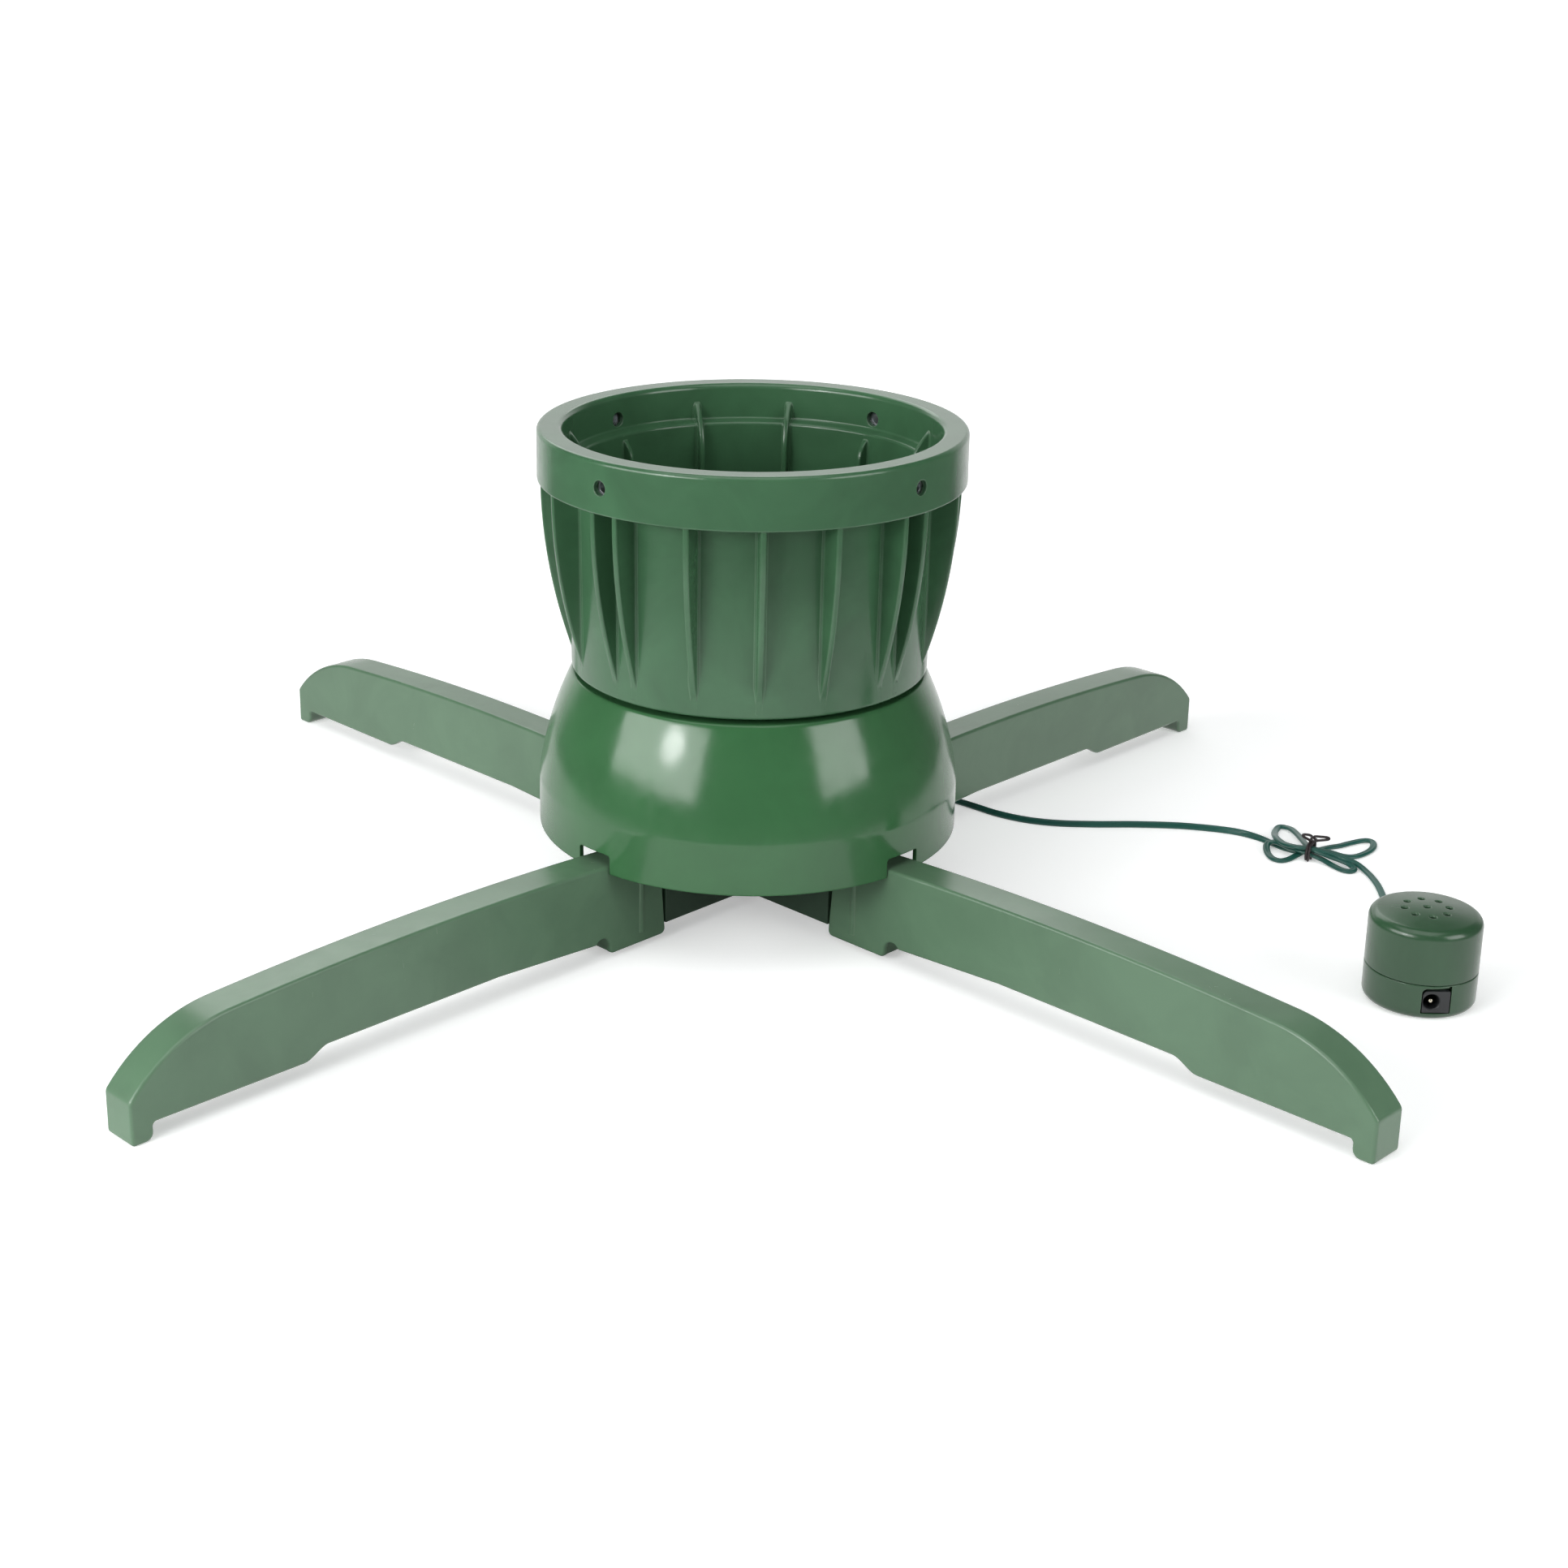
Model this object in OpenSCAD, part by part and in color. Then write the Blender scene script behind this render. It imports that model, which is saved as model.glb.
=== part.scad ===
// Rotating stand for a small Christmas tree.
// A finned bucket holds the trunk and turns on a ball race above a bell-shaped hood.
// Under the hood a geared motor drives the bucket; four plug-in legs carry the hub.
// A light twin cord runs to a round pod with a loudspeaker and the power socket.
// Origin on the floor under the bucket's axis, Z up, the front faces -Y.

/* [Bucket] */
// Outer diameter of the rim band
rim_d = 180; // [170:1:200]
// Height of the bucket, base to rim
bucket_h = 104; // [90:1:130]
// Outer diameter of the wall at its base
bucket_base_d = 152; // [146:1:160]
// How much the wall widens from its base to the band, on the radius
wall_draft = 1; // [0.5:0.1:2]
// Thickness of the bucket's wall
bucket_wall = 2.5; // [2:0.1:3.5]
// Thickness of the bucket's floor
floor_t = 3; // [2.5:0.1:5]
// Turn of the bucket at rest
bucket_turn = 2.5; // [-40:0.5:40]
// Height of the low cross that the trunk stands on
trunk_rest_h = 5; // [3:0.5:8]

/* [Rim] */
// Height of the rim band
band_h = 22; // [18:1:26]
// Thickness of the band and of the rim's top
band_wall = 2.5; // [2:0.1:3]
// Width of the rim's top, outside to inner lip
rim_w = 11; // [10:0.5:13]
// Rounding of the rim's outer edge
rim_round = 2.4; // [1:0.1:2.5]
// Rounding of the rim's inner edge
lip_round = 5; // [3:0.5:7]
// Depth of the step inside the rim, measured from its top
ledge_drop = 15.5; // [14:0.5:18]
// Height of the sloping step itself
ledge_h = 1.2; // [1:0.1:3]

/* [Fins and vanes] */
// Thickness of the outer fins
fin_t = 2.6; // [2:0.1:3.5]
// Distance of the fins' outer edge from the band's face
fin_inset = 1.4; // [1:0.1:2.5]
// Radius of the fins' curved edge
fin_curve_r = 228; // [200:1:300]
// Half the angle between the two fins beside each trunk screw
fin_pair_angle = 4; // [3:0.5:6]
// Thickness of the vanes inside the bucket
vane_t = 2.2; // [1.8:0.1:3]
// Reach of the vanes into the bucket, from the wall
vane_reach = 4; // [3:0.5:7]
// Rounding at the top of the four vanes under the trunk screws
short_vane_round = 12; // [9:1:16]
// Rounding at the top of the other vanes
long_vane_round = 31; // [24:1:40]
// Distance from the rim's top to the top of the long vanes
long_vane_drop = 8; // [7:0.5:10]

/* [Trunk screw inserts] */
// Hole in the band for a trunk screw
screw_hole_d = 6.4; // [6:0.1:8]
// Outer diameter of the threaded insert
insert_d = 9; // [8.5:0.1:10]
// Bore of the threaded insert, at the crests of its thread
insert_bore_d = 5; // [4.5:0.1:5.5]
// Length of the threaded insert
insert_l = 5.4; // [4:0.1:5.8]
// Diameter of the plastic boss round an insert
insert_boss_d = 13; // [12:0.5:16]

/* [Hood] */
// Height of the hood's lower edge above the floor
hood_z = 38.5; // [36:0.5:40]
// Height of the hood's top above the floor
hood_top_z = 107; // [105:1:115]
// Outer diameter of the skirt
skirt_d = 180.8; // [176:0.2:190]
// Narrowing of the skirt at its lower edge, on the radius
skirt_draft = 0.1; // [0:0.1:1.5]
// Height of the near-vertical skirt
skirt_h = 20; // [16:1:24]
// Outer diameter of the dome at the hood's top
dome_top_d = 152; // [148:1:160]
// Thickness of the hood
hood_wall = 2; // [1.6:0.1:3]
// Running gap between the hood and the bucket
run_gap = 2; // [1:0.5:4]
// Distance of the leg notches' top above the floor
notch_top_z = 47; // [46.5:0.1:47.2]
// Clearance on each side of a leg in its notch
notch_gap = 0.6; // [0.4:0.1:1.5]

/* [Legs] */
// Distance from the axis to the tip of a leg
leg_reach = 321; // [280:1:360]
// Width of a leg
leg_w = 17; // [15:0.5:20]
// Thickness of a leg's walls
leg_wall = 2.5; // [2:0.1:3]
// Greatest height of a leg
leg_h = 44; // [43:0.5:45.5]
// Radius of the long crown on a leg's top
crown_r = 1650; // [1400:10:2200]
// Radius of the rounded shoulder at a leg's tip
shoulder_r = 64; // [50:1:70]
// Length of the foot under a leg's tip
foot_l = 9.4; // [8:0.2:14]
// Underside of a leg near its tip, above the floor
tip_under_z = 6.5; // [4:0.5:8]
// Underside of a leg near the middle, above the floor
mid_under_z = 11; // [10:0.5:13]
// Underside of the pad at a leg's inner end
pad_z = 2; // [1:0.5:3]
// Length of the pad at a leg's inner end
pad_l = 32; // [31:1:42]
// Number of cross ribs inside a leg
leg_ribs = 5; // [3:1:7]
// Play between a leg and its tongue on the hub
tongue_gap = 0.2; // [0.1:0.05:0.4]

/* [Hub] */
// Distance from the axis to the inner end of a leg
hub_arm_r = 57; // [50:1:60]
// Underside of the hub's arms
hub_arm_z = 7; // [4:0.5:8]
// Length of the tongue that a leg plugs onto
tongue_l = 44; // [36:1:50]
// Underside of the hub's plate
plate_z = 47.5; // [47.4:0.1:48]
// Thickness of the hub's plate
plate_t = 3; // [2.5:0.1:4]
// Outer diameter of the bearing tower
tower_d = 34; // [31:0.5:36]
// Height of the stiffening ribs on the plate
rib_h = 6; // [4:0.5:7]
// Distance of the hood's screw posts from the axis
post_r = 70; // [68:0.5:72]

/* [Bearing] */
// Diameter of the spindle
spindle_d = 16; // [14:0.5:17]
// Running clearance of the spindle in its bushes, on the radius
run_fit = 0.05; // [0.02:0.01:0.08]
// Thickness of a bush's wall
bush_wall = 3; // [2:0.1:3.5]
// Length of a bush
bush_l = 14; // [10:1:18]
// Radius of the circle that the balls run on
ball_ring_r = 20; // [19:0.5:21]
// Diameter of a bearing ball
ball_d = 5.8; // [5:0.1:6.2]
// Number of bearing balls
ball_count = 12; // [8:1:15]
// Width of the bearing's race rings
race_w = 11; // [9:0.5:11.4]
// Thickness of a race ring
race_t = 2; // [1.5:0.1:2.5]
// Play of a ball between the races, at each side
ball_gap = 0.1; // [0.05:0.05:0.2]
// Height of the ball cage
cage_h = 2.2; // [1.8:0.1:3]
// Width of the lock nut on the spindle, across its flats
nut_w = 17; // [16:0.5:18]

/* [Drive] */
// Size of the gear teeth, pitch diameter per tooth
tooth_module = 1.5; // [1.4:0.02:1.56]
// Teeth of the gear under the bucket
gear_teeth = 56; // [52:4:56]
// Teeth of the motor's pinion
pinion_teeth = 12; // [12:1:14]
// Thickness of the gear
gear_h = 8; // [7:0.5:9]
// Play between the meshing teeth
backlash = 0.3; // [0.2:0.05:0.5]
// Direction of the motor, from the front towards +X
motor_angle = 135; // [130:1:140]
// Diameter of the motor's can
motor_d = 46; // [42:1:48]
// Height of the motor's can
motor_h = 24; // [20:1:27]
// Diameter of the motor's shaft
shaft_d = 6; // [5:0.5:7]

/* [Pod] */
// Outer diameter of the pod
pod_d = 44.8; // [44:0.2:50]
// Height of the pod
pod_h = 39.5; // [37:0.5:44]
// Height of the pod's base, up to the seam
pod_seam_z = 15; // [14.5:0.5:17]
// Thickness of the pod's walls
pod_wall = 2; // [1.6:0.1:2.4]
// Rounding of the pod's top edge
pod_round = 4; // [3:0.5:6]
// Rounding of the pod's bottom edge
pod_foot_round = 2.5; // [1:0.5:2.5]
// Diameter of the sound holes
sound_hole_d = 2.6; // [2:0.1:3.2]
// Radius of the ring of sound holes
sound_ring_r = 9; // [8:0.5:12]
// Diameter of the loudspeaker
speaker_d = 36; // [32:0.5:38]
// Width of the power socket
jack_w = 11; // [10:0.5:12]
// Height of the power socket
jack_h = 9.5; // [8.8:0.1:9.6]
// Bore of the power socket
jack_bore_d = 6.4; // [6:0.1:6.6]
// Diameter of the power socket's centre pin
jack_pin_d = 2; // [1.6:0.1:2.5]

/* [Cord] */
// Width of the flat twin cord
cord_w = 3.2; // [2.8:0.1:3.6]
// Thickness of the flat twin cord
cord_t = 2; // [1.8:0.1:2.4]
// Height of the grommet in the hood above the floor
grommet_z = 57; // [56:0.5:60]
// Direction of the grommet, from the front towards +X
grommet_angle = 157.5; // [150:0.5:165]
// Diameter of the grommet's flanges
grommet_d = 11; // [10:0.5:12]

/* [Small screws] */
// Diameter of the screws
screw_d = 3; // [2.5:0.1:3.5]
// Diameter of the screws' heads
head_d = 6; // [5.5:0.1:6.5]
// Height of the screws' heads
head_h = 2; // [1.5:0.1:2.4]
// Clearance round pieces that seat in each other
seat_gap = 0.05; // [0.02:0.01:0.1]

/* [Hidden] */

smooth = 96;
eps = 0.01;

green = "#4f7d57";
pod_green = "#4c7355";
cord_green = "#1f5a50";
steel = "#b9bcbf";
acetal = "#e6e3d8";
black = "#26282a";

// Bucket
rim_r = rim_d / 2;
lip_r = rim_r - rim_w;
base_r = bucket_base_d / 2;
wall_top_r = base_r + wall_draft;
bucket_z = hood_top_z + run_gap;
rim_z = bucket_z + bucket_h;
band_z = rim_z - band_h;
ledge_z = rim_z - ledge_drop;
floor_z = bucket_z + floor_t;
inner_top_r = wall_top_r - bucket_wall;
inner_base_r = base_r - bucket_wall;
foot_round = 1.5;
channel_wall_r = lip_r + band_wall;
vane_r = inner_base_r - vane_reach;
fin_edge_r = rim_r - fin_inset;
screw_az = 45;
screw_z = band_z + band_h / 2;
insert_r = (rim_r - band_wall + channel_wall_r) / 2;
rest_inner_r = 10;
rest_outer_r = 40;
rest_t = 3;

// Drive train, from the bucket down
boss_h = 5;
boss_z = bucket_z - boss_h;
boss_r = 36;
gear_screw_r = 31;
gear_screw_hole = 6;
gear_z = boss_z - gear_h;
head_sink = head_h + 0.4;
flange_t = 3;
flange_r = 20;
flange_z = boss_z - flange_t;
upper_race_z = gear_z - race_t;
ball_z = upper_race_z - ball_gap - ball_d / 2;
lower_race_top_z = ball_z - ball_d / 2 - ball_gap;
tower_z = lower_race_top_z - race_t;
spindle_r = spindle_d / 2;
bush_r = spindle_r + bush_wall;
bush_flange_t = 1.5;
bush_flange_r = ball_ring_r - race_w / 2 - 0.5;
thread_r = 5;
nut_bore_r = 12;
bush_stop_z = plate_z + 1.5;
washer_t = 1.4;
washer_r = nut_bore_r - 1;
washer_z = bush_stop_z - 0.3 - washer_t;
nut_h = 8;
nut_z = washer_z - nut_h;
spindle_end_z = nut_z - 4;

// Motor
gear_pitch_r = gear_teeth * tooth_module / 2;
pinion_pitch_r = pinion_teeth * tooth_module / 2;
motor_r = gear_pitch_r + pinion_pitch_r;
pressure_angle = 20;
addendum = 0.8;
dedendum = 1.05;
motor_top_z = gear_z - 11;
motor_ear = 30;
motor_ear_r = 5;
ear_t = 2;
motor_screw_l = 12;
motor_boss_r = 7;
motor_boss_h = 3;
motor_shaft_depth = 4;
terminal_w = 10;
terminal_h = 8;
terminal_l = 5;
terminal_turn = 47;
terminal_z = motor_top_z - motor_h + 8;
pinion_z = gear_z - 1;
pinion_h = gear_h + 1;
pinion_hub_h = 4;
pinion_hub_r = 5.5;

// Hub
plate_top_z = plate_z + plate_t;
tower_r = tower_d / 2;
tower_cap_h = 6;
tower_cap_r = ball_ring_r + race_w / 2;
barrel_wall = 4;
barrel_z = 10;
rib_t = 2.5;
rib_outer_r = 60;
tongue_w = leg_w - 2 * leg_wall - 2 * tongue_gap;
tongue_z = 12;
tongue_top_z = 37.5;
groove_s = 71;
groove_w = 2.4;
groove_depth = 0.5;
post_wall_r = 4.2;
post_screw_l = 14;

// Hood
skirt_r = skirt_d / 2;
dome_top_r = dome_top_d / 2;
corner_r = 20;
cone_slope = 14;
dome_h = 18;
deck_hole_r = boss_r + 2;
plate_gap = 0.4;

// Leg profile, s along the leg from the axis
crown_s = 168;
shoulder_l = 45;
shoulder_s = leg_reach - shoulder_l;
foot_panel_l = 76;
step_s = leg_reach - foot_panel_l;
step_l = 12;
belly_l = 60;
foot_round_r = 3.5;
pad_round_r = 2;
arch_r = 4;
arch_rise = 4;
arch_s = hub_arm_r + pad_l;
pad_web_t = 2.5;
pad_web_h = 9;
ridge_s = 71;
ridge_w = 2.6;
ridge_proud = 0.7;
leg_angles = [-45, 45, -135, 135];

// Pod
pod_x = 272;
pod_y = -94;
pod_r = pod_d / 2;
pod_floor_t = 2;
pod_screw_r = 17.1;
pod_crown = 1.6;
pod_boss_r = 2.9;
pod_screw_hole_r = 1.1;
pod_screw_angles = [60, 180, 300];
jack_x = 1;
jack_shift = -1.8;
jack_z = 3;
jack_l = 13;
jack_face_r = pod_r - 0.8;
jack_cut_gap = 0.5;
jack_cut_top = 1.8;
jack_seat = 0.1;
board_t = 1.6;
board_z = jack_z + jack_h + seat_gap;
board_r = pod_r - pod_wall - 0.4;
cap_boss_z = board_z + board_t + seat_gap;
pod_screw_hole = 9;
pod_screw_head_z = 4;
speaker_r = speaker_d / 2;
cap_inner_z = pod_h - pod_crown - pod_wall;
speaker_top_z = cap_inner_z - seat_gap;
speaker_h = 7;
speaker_rim_h = 1.5;
basket_floor = 1;
cone_h = speaker_h - basket_floor;
magnet_r = 10;
cone_small_r = magnet_r + 1;
cone_big_r = speaker_r - 2.5;
paper_t = 0.8;
magnet_h = 4;
pod_cord_z = 6;
pod_grommet_r = 3;

// Cord: the route's own points, chosen by hand
cord_rest_z = 1.1;
route_to_base = [
    [36, 87, 57], [37.5, 91, 57], [39.5, 95, 55], [43, 100, 47], [47, 106, 34], [51.5, 112, 20],
    [57, 118, 9], [64, 123, 3], [73, 125.5, cord_rest_z], [83, 124, cord_rest_z],
    [93, 119, cord_rest_z], [103, 112, cord_rest_z], [112, 104, cord_rest_z],
    [121, 96, cord_rest_z], [133, 89, cord_rest_z], [147, 85, cord_rest_z],
    [165, 84, cord_rest_z], [185, 84.5, cord_rest_z], [205, 83.5, cord_rest_z],
    [221, 80.2, cord_rest_z], [232, 76.5, cord_rest_z], [239, 72.5, cord_rest_z], [246, 66.5, cord_rest_z]
];
route_to_pod = [
    [271, 51.5, cord_rest_z], [275, 46.5, cord_rest_z], [278.6, 40.5, cord_rest_z],
    [281, 32, cord_rest_z], [282.2, 20, cord_rest_z], [282, 8, cord_rest_z],
    [280.5, -6, cord_rest_z], [278.3, -20, cord_rest_z], [276.2, -33, cord_rest_z],
    [274.6, -44, 1.2], [273.4, -53, 2.3], [272.6, -60, 4.3], [272.1, -65.5, 5.8], [272, -70, 6]
];
lead_start = [32.8, 79];
lead_end = [35, 64.3];
lead_d = 1.5;
hank_centre = [260.5, 56.5];
hank_h = 8;
hank_span = 60;
// Each loop of the bow: direction, length and width
hank_loops = [[109, 34, 17], [188, 25, 24], [9, 33, 23], [-60, 28, 12]];
tie_w = 11;
tie_l = 2.2;
tie_t = 0.9;
tie_turn = -22;

// Places a piece at a distance from the axis, in a direction from the front
module at_angle(angle) {
    rotate([0, 0, angle - 90]) children();
}

// Ring with a square section
module ring(outer_r, inner_r, h) {
    difference() {
        cylinder(r = outer_r, h = h, $fn = smooth);
        translate([0, 0, -eps]) cylinder(r = inner_r, h = h + 2 * eps, $fn = smooth);
    }
}

// Screw with its head's top at z = 0 and its shank pointing up
module screw_up(shank_l, shank_r = screw_d / 2, cap_r = head_d / 2, cap_h = head_h) {
    translate([0, 0, -eps]) cylinder(r = shank_r, h = shank_l + eps, $fn = 24);
    translate([0, 0, -cap_h]) difference() {
        cylinder(r = cap_r, h = cap_h, $fn = 32);
        for (turn = [0, 90]) rotate([0, 0, turn])
            translate([-cap_r * 0.6, -0.4, -eps]) cube([cap_r * 1.2, 0.8, cap_h / 2]);
    }
}

// Points of an arc
function arc(cx, cy, r, from, to, steps) =
    [for (i = [0:steps]) let (a = from + (to - from) * i / steps) [cx + r * cos(a), cy + r * sin(a)]];

function bucket_outline() = concat(
    arc(base_r - foot_round, bucket_z + foot_round, foot_round, -90, 0, 4),
    [[wall_top_r, band_z], [wall_top_r, ledge_z - ledge_h - bucket_wall],
     [channel_wall_r, ledge_z - bucket_wall], [channel_wall_r, rim_z - band_wall],
     [rim_r - band_wall, rim_z - band_wall], [rim_r - band_wall, band_z], [rim_r, band_z]],
    arc(rim_r - rim_round, rim_z - rim_round, rim_round, 0, 90, 5),
    arc(lip_r + lip_round, rim_z - lip_round, lip_round, 90, 180, 6),
    [[lip_r, ledge_z], [inner_top_r, ledge_z - ledge_h], [inner_base_r, floor_z], [0, floor_z], [0, bucket_z]]
);

// Outer fin, standing in the plane of the axis: curved below the band, filling the channel inside it
module fin() {
    bottom_z = bucket_z + foot_round;
    head_r = rim_r - band_wall + eps;
    head_z = rim_z - band_wall + eps;
    rotate([90, 0, 0]) translate([0, 0, -fin_t / 2]) linear_extrude(fin_t) {
        intersection() {
            polygon([[inner_base_r + 1, bottom_z], [fin_edge_r, bottom_z],
                [fin_edge_r, band_z + 1], [inner_top_r + 1, band_z + 1]]);
            translate([fin_edge_r - fin_curve_r, band_z]) circle(r = fin_curve_r, $fn = 720);
        }
        polygon([[wall_top_r - 1, band_z], [head_r, band_z], [head_r, head_z], [channel_wall_r - 1, head_z],
            [channel_wall_r - 1, ledge_z - 1], [wall_top_r - 1, ledge_z - ledge_h - 1]]);
    }
}

// Inner vane with a rounded top corner
module vane(top_z, round_r) {
    drop = sqrt(round_r * round_r - pow(round_r - (lip_r - vane_r), 2));
    rotate([90, 0, 0]) translate([0, 0, -vane_t / 2]) linear_extrude(vane_t) difference() {
        polygon([[vane_r, floor_z - eps], [inner_base_r + 1, floor_z - eps],
            [inner_top_r + 1, ledge_z - ledge_h], [lip_r + 1, ledge_z - ledge_h],
            [lip_r + 1, top_z], [vane_r, top_z]]);
        difference() {
            translate([vane_r - 1, top_z - drop]) square([lip_r - vane_r + 1, drop + 1]);
            translate([vane_r + round_r, top_z - drop]) circle(r = round_r, $fn = 360);
        }
    }
}

module tree_bucket() color(green) {
    fin_angles = [for (quarter = [0:90:270], a = [-fin_pair_angle, fin_pair_angle, 25, 45, 65])
        quarter + a];
    rotate([0, 0, bucket_turn]) difference() {
        union() {
            rotate_extrude($fn = smooth * 2) polygon(bucket_outline());
            for (a = fin_angles) at_angle(screw_az + a) fin();
            for (quarter = [0:90:270]) at_angle(screw_az + quarter) {
                vane(ledge_z - 2, short_vane_round);
                for (a = [-30, 30]) rotate([0, 0, a]) vane(rim_z - long_vane_drop, long_vane_round);
                translate([channel_wall_r - 1, 0, screw_z]) rotate([0, 90, 0])
                    cylinder(d = insert_boss_d, h = rim_r - band_wall - channel_wall_r + 2, $fn = 48);
            }
            translate([0, 0, boss_z]) cylinder(r = boss_r, h = boss_h + 1, $fn = smooth);
            for (a = [0, 90]) rotate([0, 0, a]) for (side = [0, 180]) rotate([0, 0, side])
                translate([rest_inner_r, -rest_t / 2, floor_z - eps])
                    cube([rest_outer_r - rest_inner_r, rest_t, trunk_rest_h]);
        }
        for (quarter = [0:90:270]) at_angle(screw_az + quarter) {
            translate([lip_r - 5, 0, screw_z]) rotate([0, 90, 0])
                cylinder(d = screw_hole_d, h = rim_w + 10, $fn = 48);
            translate([insert_r - insert_l / 2 - seat_gap, 0, screw_z]) rotate([0, 90, 0])
                cylinder(r = insert_d / 2 + seat_gap, h = insert_l + 2 * seat_gap, $fn = 48);
            translate([gear_screw_r, 0, boss_z - eps])
                cylinder(r = screw_d / 2, h = gear_screw_hole + eps, $fn = 24);
        }
    }
}

module screw_inserts() color(steel) rotate([0, 0, bucket_turn]) for (quarter = [0:90:270])
    at_angle(screw_az + quarter) translate([insert_r - insert_l / 2, 0, screw_z]) rotate([0, 90, 0])
        ring(insert_d / 2, insert_bore_d / 2, insert_l);

// Half the angle that a tooth takes up at a radius, from the involute of its base circle
function involute(angle) = tan(angle) * 180 / PI - angle;
function tooth_half_angle(teeth, r) =
    let (pitch_r = teeth * tooth_module / 2, base = pitch_r * cos(pressure_angle))
    90 / teeth - backlash / 4 / pitch_r * 180 / PI + involute(pressure_angle)
        - involute(acos(min(1, base / max(r, base))));
function gear_points(teeth) =
    let (pitch_r = teeth * tooth_module / 2, root = pitch_r - dedendum * tooth_module,
         tip = pitch_r + addendum * tooth_module, radii = [root, (root + pitch_r) / 2, pitch_r,
         (pitch_r + tip) / 2, tip])
    [for (tooth = [0:teeth - 1], side = [-1, 1], i = [0:4])
        let (r = radii[side < 0 ? i : 4 - i], a = tooth * 360 / teeth + side * tooth_half_angle(teeth, r))
        [r * cos(a), r * sin(a)]];

module drive_gear() color(acetal) rotate([0, 0, bucket_turn]) difference() {
    translate([0, 0, gear_z]) rotate([0, 0, motor_angle - 90 - bucket_turn])
        linear_extrude(gear_h) polygon(gear_points(gear_teeth));
    translate([0, 0, gear_z - 1]) cylinder(r = spindle_r + seat_gap, h = gear_h + 2, $fn = smooth);
    translate([0, 0, flange_z]) cylinder(r = flange_r + seat_gap, h = flange_t + 1, $fn = smooth);
    for (quarter = [0:90:270]) at_angle(screw_az + quarter) translate([gear_screw_r, 0, 0]) {
        translate([0, 0, gear_z - 1]) cylinder(r = screw_d / 2 + 0.2, h = gear_h + 2, $fn = 24);
        translate([0, 0, gear_z - 1]) cylinder(r = head_d / 2 + 0.3, h = head_sink + 1, $fn = 32);
    }
}

module gear_screws() color(steel) rotate([0, 0, bucket_turn]) for (quarter = [0:90:270])
    at_angle(screw_az + quarter) translate([gear_screw_r, 0, gear_z + head_sink])
        screw_up(boss_z + gear_screw_hole - 0.6 - gear_z - head_sink, screw_d / 2 - seat_gap);

module spindle() color(steel) {
    translate([0, 0, flange_z]) cylinder(r = flange_r, h = flange_t, $fn = smooth);
    translate([0, 0, washer_z + washer_t]) cylinder(r = spindle_r, h = flange_z - washer_z, $fn = smooth);
    translate([0, 0, spindle_end_z]) cylinder(r = thread_r, h = flange_z - spindle_end_z, $fn = smooth);
}

module upper_race() color(steel) translate([0, 0, upper_race_z])
    ring(ball_ring_r + race_w / 2, ball_ring_r - race_w / 2, race_t);

module lower_race() color(steel) translate([0, 0, tower_z])
    ring(ball_ring_r + race_w / 2, ball_ring_r - race_w / 2, race_t);

module ball_cage() color(acetal) translate([0, 0, ball_z - cage_h / 2]) difference() {
    ring(ball_ring_r + race_w / 2 - 0.3, ball_ring_r - race_w / 2 + 0.3, cage_h);
    for (i = [0:ball_count - 1]) rotate([0, 0, i * 360 / ball_count])
        translate([ball_ring_r, 0, -1]) cylinder(r = ball_d / 2 + 0.15, h = cage_h + 2, $fn = 36);
}

module bearing_balls() color(steel) for (i = [0:ball_count - 1]) rotate([0, 0, i * 360 / ball_count])
    translate([ball_ring_r, 0, ball_z]) sphere(d = ball_d, $fn = 32);

module upper_bush() color(acetal) difference() {
    union() {
        translate([0, 0, tower_z - bush_l]) cylinder(r = bush_r, h = bush_l, $fn = smooth);
        translate([0, 0, tower_z]) cylinder(r = bush_flange_r, h = bush_flange_t, $fn = smooth);
    }
    translate([0, 0, tower_z - bush_l - 1]) cylinder(r = spindle_r + run_fit, h = bush_l + 5, $fn = smooth);
}

module lower_bush() color(acetal) translate([0, 0, bush_stop_z])
    ring(bush_r, spindle_r + run_fit, bush_l);

module spindle_washer() color(steel) translate([0, 0, washer_z])
    ring(washer_r, thread_r + seat_gap, washer_t);

module lock_nut() color(steel) translate([0, 0, nut_z]) difference() {
    union() {
        cylinder(r = nut_w / sqrt(3), h = nut_h - 2, $fn = 6);
        cylinder(r = nut_w / 2 - 0.5, h = nut_h, $fn = smooth);
    }
    translate([0, 0, -1]) cylinder(r = thread_r + seat_gap, h = nut_h + 2, $fn = smooth);
}

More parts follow.
